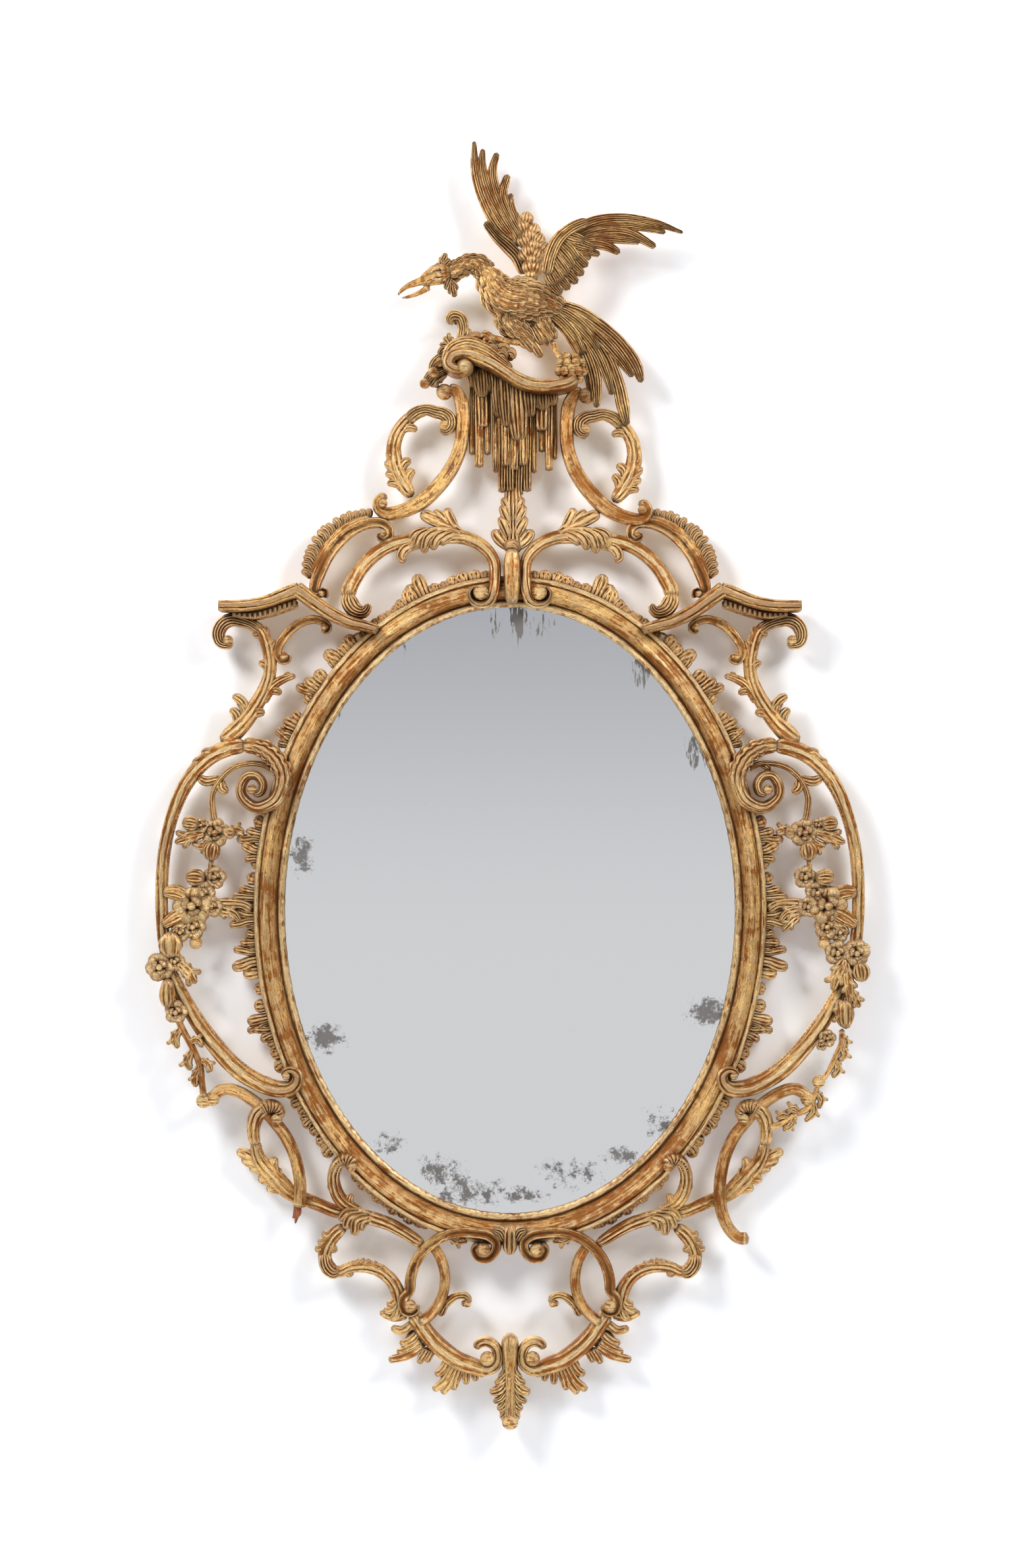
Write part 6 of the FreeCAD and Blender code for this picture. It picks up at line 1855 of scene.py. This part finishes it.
@dataclass(frozen=True)
class Plain:
    """A finish of two tones with a grain, for the back and the fittings."""

    name: str
    light: Colour
    dark: Colour
    metallic: float
    roughness: float
    stretch: tuple[float, float, float] = (1, 1, 1)
    scale: float = 60.0
    bump: float = 0.0005

    def make(self) -> bpy.types.Material:
        """Builds the material.

        Returns:
            The material.
        """
        material, g, shader = new_material(self.name)
        place = g.add("ShaderNodeTexCoord").outputs["Object"]
        drawn = g.add("ShaderNodeVectorMath", {0: place, 1: self.stretch}, operation="MULTIPLY").outputs[0]
        grain = g.noise(drawn, self.scale, 6.0, 0.6)
        stain = g.noise(place, 11.0, 4.0)
        tone = g.math("ADD", g.math("MULTIPLY", grain, 0.65), g.math("MULTIPLY", stain, 0.35))
        g.tree.links.new(
            g.mix(g.ramp(tone, 0.36, 0.64), self.dark, self.light), shader.inputs["Base Color"],
        )
        shader.inputs["Metallic"].default_value = self.metallic
        rough = g.ramp(stain, 0.35, 0.65, max(self.roughness - 0.12, 0.05), min(self.roughness + 0.12, 1.0))
        g.tree.links.new(rough, shader.inputs["Roughness"])
        bump = g.add("ShaderNodeBump", {"Height": grain, "Strength": 0.6, "Distance": self.bump})
        g.tree.links.new(bump.outputs["Normal"], shader.inputs["Normal"])
        return material


class Finishes:
    """Every finish of the mirror, by slot."""

    def __init__(self, sheet: Sheet) -> None:
        """Builds the materials.

        Args:
            sheet: the carver's sheet.
        """
        pine = Plain("old_pine", (0.36, 0.2, 0.09, 1), (0.17, 0.085, 0.035, 1), 0.0, 0.7, (9, 9, 0.8), 22.0)
        brass = Plain(
            "aged_brass", (0.62, 0.42, 0.16, 1), (0.25, 0.15, 0.05, 1), 1.0, 0.38, scale=90.0,
            bump=0.0002,
        )
        iron = Plain(
            "dark_iron", (0.2, 0.18, 0.16, 1), (0.07, 0.055, 0.045, 1), 0.9, 0.5, scale=120.0,
            bump=0.0003,
        )
        felt = Plain(
            "felt_pads", (0.08, 0.1, 0.07, 1), (0.04, 0.05, 0.035, 1), 0.0, 0.95, scale=700.0, bump=0.001,
        )
        split = Plain(
            "split_wood", (0.42, 0.15, 0.06, 1), (0.2, 0.06, 0.025, 1), 0.0, 0.75, (6, 6, 0.7), 60.0,
            0.001,
        )
        self.by_slot: dict[Slot, bpy.types.Material] = {
            Slot.GILDING: Gilding().make(wear_and_painted_light_group()),
            Slot.MIRROR: Silvering().make(sheet),
            Slot.PINE: pine.make(),
            Slot.BRASS: brass.make(),
            Slot.IRON: iron.make(),
            Slot.FELT: felt.make(),
            Slot.BARE_WOOD: split.make(),
        }


def mark_relief(mesh: bpy.types.Mesh) -> None:
    """Writes how far each point of a carving stands proud of its neighbours.

    Args:
        mesh: the carving's mesh.
    """
    count = len(mesh.vertices)
    spots = np.empty(count * 3, np.float32)
    mesh.vertices.foreach_get("co", spots)
    spots = spots.reshape(-1, 3)
    normals = np.empty(count * 3, np.float32)
    mesh.vertex_normals.foreach_get("vector", normals)
    normals = normals.reshape(-1, 3)
    ends = np.empty(len(mesh.edges) * 2, np.int32)
    mesh.edges.foreach_get("vertices", ends)
    a, b = ends.reshape(-1, 2).T
    number = np.maximum(np.bincount(a, minlength=count) + np.bincount(b, minlength=count), 1)

    def around(values: Array) -> Array:
        """Averages a value over each point's neighbours."""
        return (np.bincount(a, values[b], count) + np.bincount(b, values[a], count)) / number

    middle = np.column_stack([around(spots[:, k]) for k in range(3)])
    sides = np.linalg.norm(spots[a] - spots[b], axis=1)
    size = (np.bincount(a, sides, count) + np.bincount(b, sides, count)) / number
    proud = np.sum((spots - middle) * normals, axis=1) / np.maximum(size, 1e-7)
    for _ in range(RELIEF_ROUNDS):
        proud = 0.5 * proud + 0.5 * around(proud)
    level = np.clip(0.5 + RELIEF_GAIN * proud, 0, 1).astype(np.float32)
    mesh.attributes.new("relief", "FLOAT", "POINT").data.foreach_set("value", level)


def set_piece(
    bm: bmesh.types.BMesh, node: str, material: bpy.types.Material,
) -> bpy.types.Object:
    """Turns a carving into the piece that stands for its node.

    Args:
        bm: the carving in metres.
        node: the node it stands for.
        material: its finish.

    Returns:
        The piece.
    """
    bmesh.ops.recalc_face_normals(bm, faces=bm.faces)
    for edge in bm.edges:
        edge.smooth = len(edge.link_faces) != 2 or edge.calc_face_angle() < SHARP
    for face in bm.faces:
        face.smooth = True
    mesh = bpy.data.meshes.new("carved_" + node)
    bm.to_mesh(mesh)
    bm.free()
    mark_relief(mesh)
    mesh.materials.append(material)
    piece = bpy.data.objects.new("carved_" + node, mesh)
    bpy.context.scene.collection.objects.link(piece)
    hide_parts(node)
    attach(piece, "frame")
    LOG.info("%s: %d faces", piece.name, len(mesh.polygons))
    return piece


def splinter(sheet: Sheet) -> bmesh.types.BMesh:
    """Carves the red wood splinter where the left rod is broken.

    Args:
        sheet: the carver's sheet.

    Returns:
        The splinter in metres.
    """
    bm = bmesh.new()
    for shift, foot, half in ((0, -935, 4.5), (9, -915, 3), (-8, -920, 3)):
        table = (
            (-828 + shift * 0.6, -880, half), (-830 + shift, -905, half * 0.8),
            (-836 + shift * 1.3, foot, 0.8),
        )
        carve(bm, sheet.knots(table, 36), 26, BROKEN)
    sheet.stand(bm)
    return bm


# Measured nodes that keep their solids and get a finish
DRESSED: dict[Slot, tuple[str, ...]] = {
    Slot.MIRROR: ("mirror_plate",),
    Slot.PINE: ("backboard_left", "backboard_centre", "backboard_right", "plate_blocks"),
    Slot.BRASS: (
        "turn_button_upper_right", "turn_button_upper_left", "turn_button_lower_left",
        "turn_button_lower_right",
        "hanger_straps", "hanger_ring_right", "hanger_ring_left",
    ),
    Slot.IRON: ("turn_button_screws", "hanger_screws"),
    Slot.FELT: ("wall_pads",),
}


@dataclass(frozen=True)
class Studio:
    """The camera, the wall, the floor and the light."""

    middle: float = 154.0
    away: float = 3.5
    field: float = 1.904
    face: float = 0.035
    sensor: float = 36.0
    wall: tuple[float, float, float] = (0, 0.003, -0.1)
    wall_half: float = 4.0
    floor: tuple[float, float, float] = (0, -1.0, -1.35)
    floor_half: float = 1.6
    aim: tuple[float, float, float] = (0, 0, -0.25)

    def build(self, sheet: Sheet) -> None:
        """Sets the studio up.

        Args:
            sheet: the carver's sheet.
        """
        scene = bpy.context.scene
        data = bpy.data.cameras.new("camera")
        data.sensor_fit = "VERTICAL"
        data.sensor_height = self.sensor
        data.lens = self.sensor * (self.away - self.face) / self.field
        camera = bpy.data.objects.new("camera", data)
        camera.location = (0, -self.away, sheet.centre + self.middle / 1000)
        camera.rotation_euler = (math.pi / 2, 0, 0)
        scene.collection.objects.link(camera)
        scene.camera = camera
        self.backdrop()
        scene.view_settings.view_transform = "Standard"
        self.lamp("key_left", (-1.6, -1.9, 1.5), 0.9, 64)
        self.lamp("key_right", (1.8, -1.9, 1.3), 0.9, 49)
        self.lamp("fill", (0, -3.0, -1.0), 2.2, 4).visible_glossy = False
        self.lamp("behind", (-0.9, 2.2, 1.1), 1.8, 55)
        self.sky(scene)

    def backdrop(self) -> None:
        """Stands the wall and lays the floor, both clear from behind and without a shadow."""
        material, g, shader = new_material("plain_wall")
        shader.inputs["Base Color"].default_value = (0.89, 0.9, 0.92, 1)
        shader.inputs["Roughness"].default_value = 0.9
        away = g.add("ShaderNodeNewGeometry").outputs["Backfacing"]
        clear = g.add("ShaderNodeBsdfTransparent").outputs[0]
        shadow = g.add("ShaderNodeLightPath").outputs["Is Shadow Ray"]
        through = g.math("MAXIMUM", away, shadow)
        blend = g.add("ShaderNodeMixShader", {0: through, 1: shader.outputs[0], 2: clear})
        g.tree.links.new(blend.outputs[0], g.tree.nodes["Material Output"].inputs["Surface"])
        upright = Matrix.Translation(self.wall) @ Matrix.Rotation(math.pi / 2, 4, "X")
        level = Matrix.Translation(self.floor)
        for name, half, place in (("wall", self.wall_half, upright), ("floor", self.floor_half, level)):
            bm = bmesh.new()
            bmesh.ops.create_grid(bm, x_segments=1, y_segments=1, size=half, matrix=place)
            mesh = bpy.data.meshes.new(name)
            bm.to_mesh(mesh)
            bm.free()
            mesh.materials.append(material)
            plane = bpy.data.objects.new(name, mesh)
            bpy.context.scene.collection.objects.link(plane)

    def lamp(
        self, name: str, place: tuple[float, float, float], size: float, power: float,
    ) -> bpy.types.Object:
        """Hangs a soft lamp that faces the mirror.

        Args:
            name: its name.
            place: where it hangs.
            size: its side in metres.
            power: its power in watts.

        Returns:
            The lamp.
        """
        data = bpy.data.lights.new(name, "AREA")
        data.size = size
        data.energy = power
        lamp = bpy.data.objects.new(name, data)
        lamp.location = place
        aim = Vector(self.aim) - Vector(place)
        lamp.rotation_euler = aim.to_track_quat("-Z", "Y").to_euler()
        bpy.context.scene.collection.objects.link(lamp)
        return lamp

    def sky(self, scene: bpy.types.Scene) -> None:
        """Lights a dim room, paler above, with a card before the glass that is paler below.

        Args:
            scene: the scene.
        """
        world = bpy.data.worlds.new("room")
        world.use_nodes = True
        scene.world = world
        g = Graph(world.node_tree)
        ray = g.add("ShaderNodeTexCoord").outputs["Generated"]
        split = g.add("ShaderNodeSeparateXYZ", {0: ray}).outputs
        card = g.mix(g.ramp(split["Z"], -0.06, 0.1), (0.74, 0.74, 0.75, 1), (0.43, 0.44, 0.47, 1))
        room = g.mix(g.ramp(split["Z"], -0.5, 0.7), (0.05, 0.045, 0.04, 1), (0.32, 0.32, 0.33, 1))
        shade = g.mix(g.ramp(split["Y"], -0.88, -0.97), room, card)
        tree = world.node_tree
        tree.links.new(shade, tree.nodes["Background"].inputs["Color"])
        tree.nodes["Background"].inputs["Strength"].default_value = 1.0


def main() -> None:
    """Loads the frame, carves and dresses every piece and sets the studio up."""
    logging.basicConfig(level=logging.INFO, format="%(message)s")
    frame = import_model()
    sheet = Sheet.of_frame()
    finishes = Finishes(sheet).by_slot
    gold = finishes[Slot.GILDING]
    for carving in (*scrolls(), *garlands(), *centre_pieces(), *bird()):
        set_piece(carving.build(sheet), carving.node, gold)
    moulding = Moulding()
    for name, middle in moulding.quarters:
        set_piece(moulding.build(sheet, middle), "oval_moulding_" + name, gold)
    set_piece(Frill().build(sheet), "oval_frill", gold)
    set_piece(Eave().build(sheet, False), "eave_right", gold)
    set_piece(Eave().build(sheet, True), "eave_left", gold)
    set_piece(Rockwork().build(sheet), "drip_rockwork", gold)
    set_piece(splinter(sheet), "rod_splinter", finishes[Slot.BARE_WOOD])
    for slot, nodes in DRESSED.items():
        for node in nodes:
            piece = frame["nodes"][node]
            piece.data.materials.clear()
            piece.data.materials.append(finishes[slot])
    Studio().build(sheet)


if __name__ == "__main__":
    main()
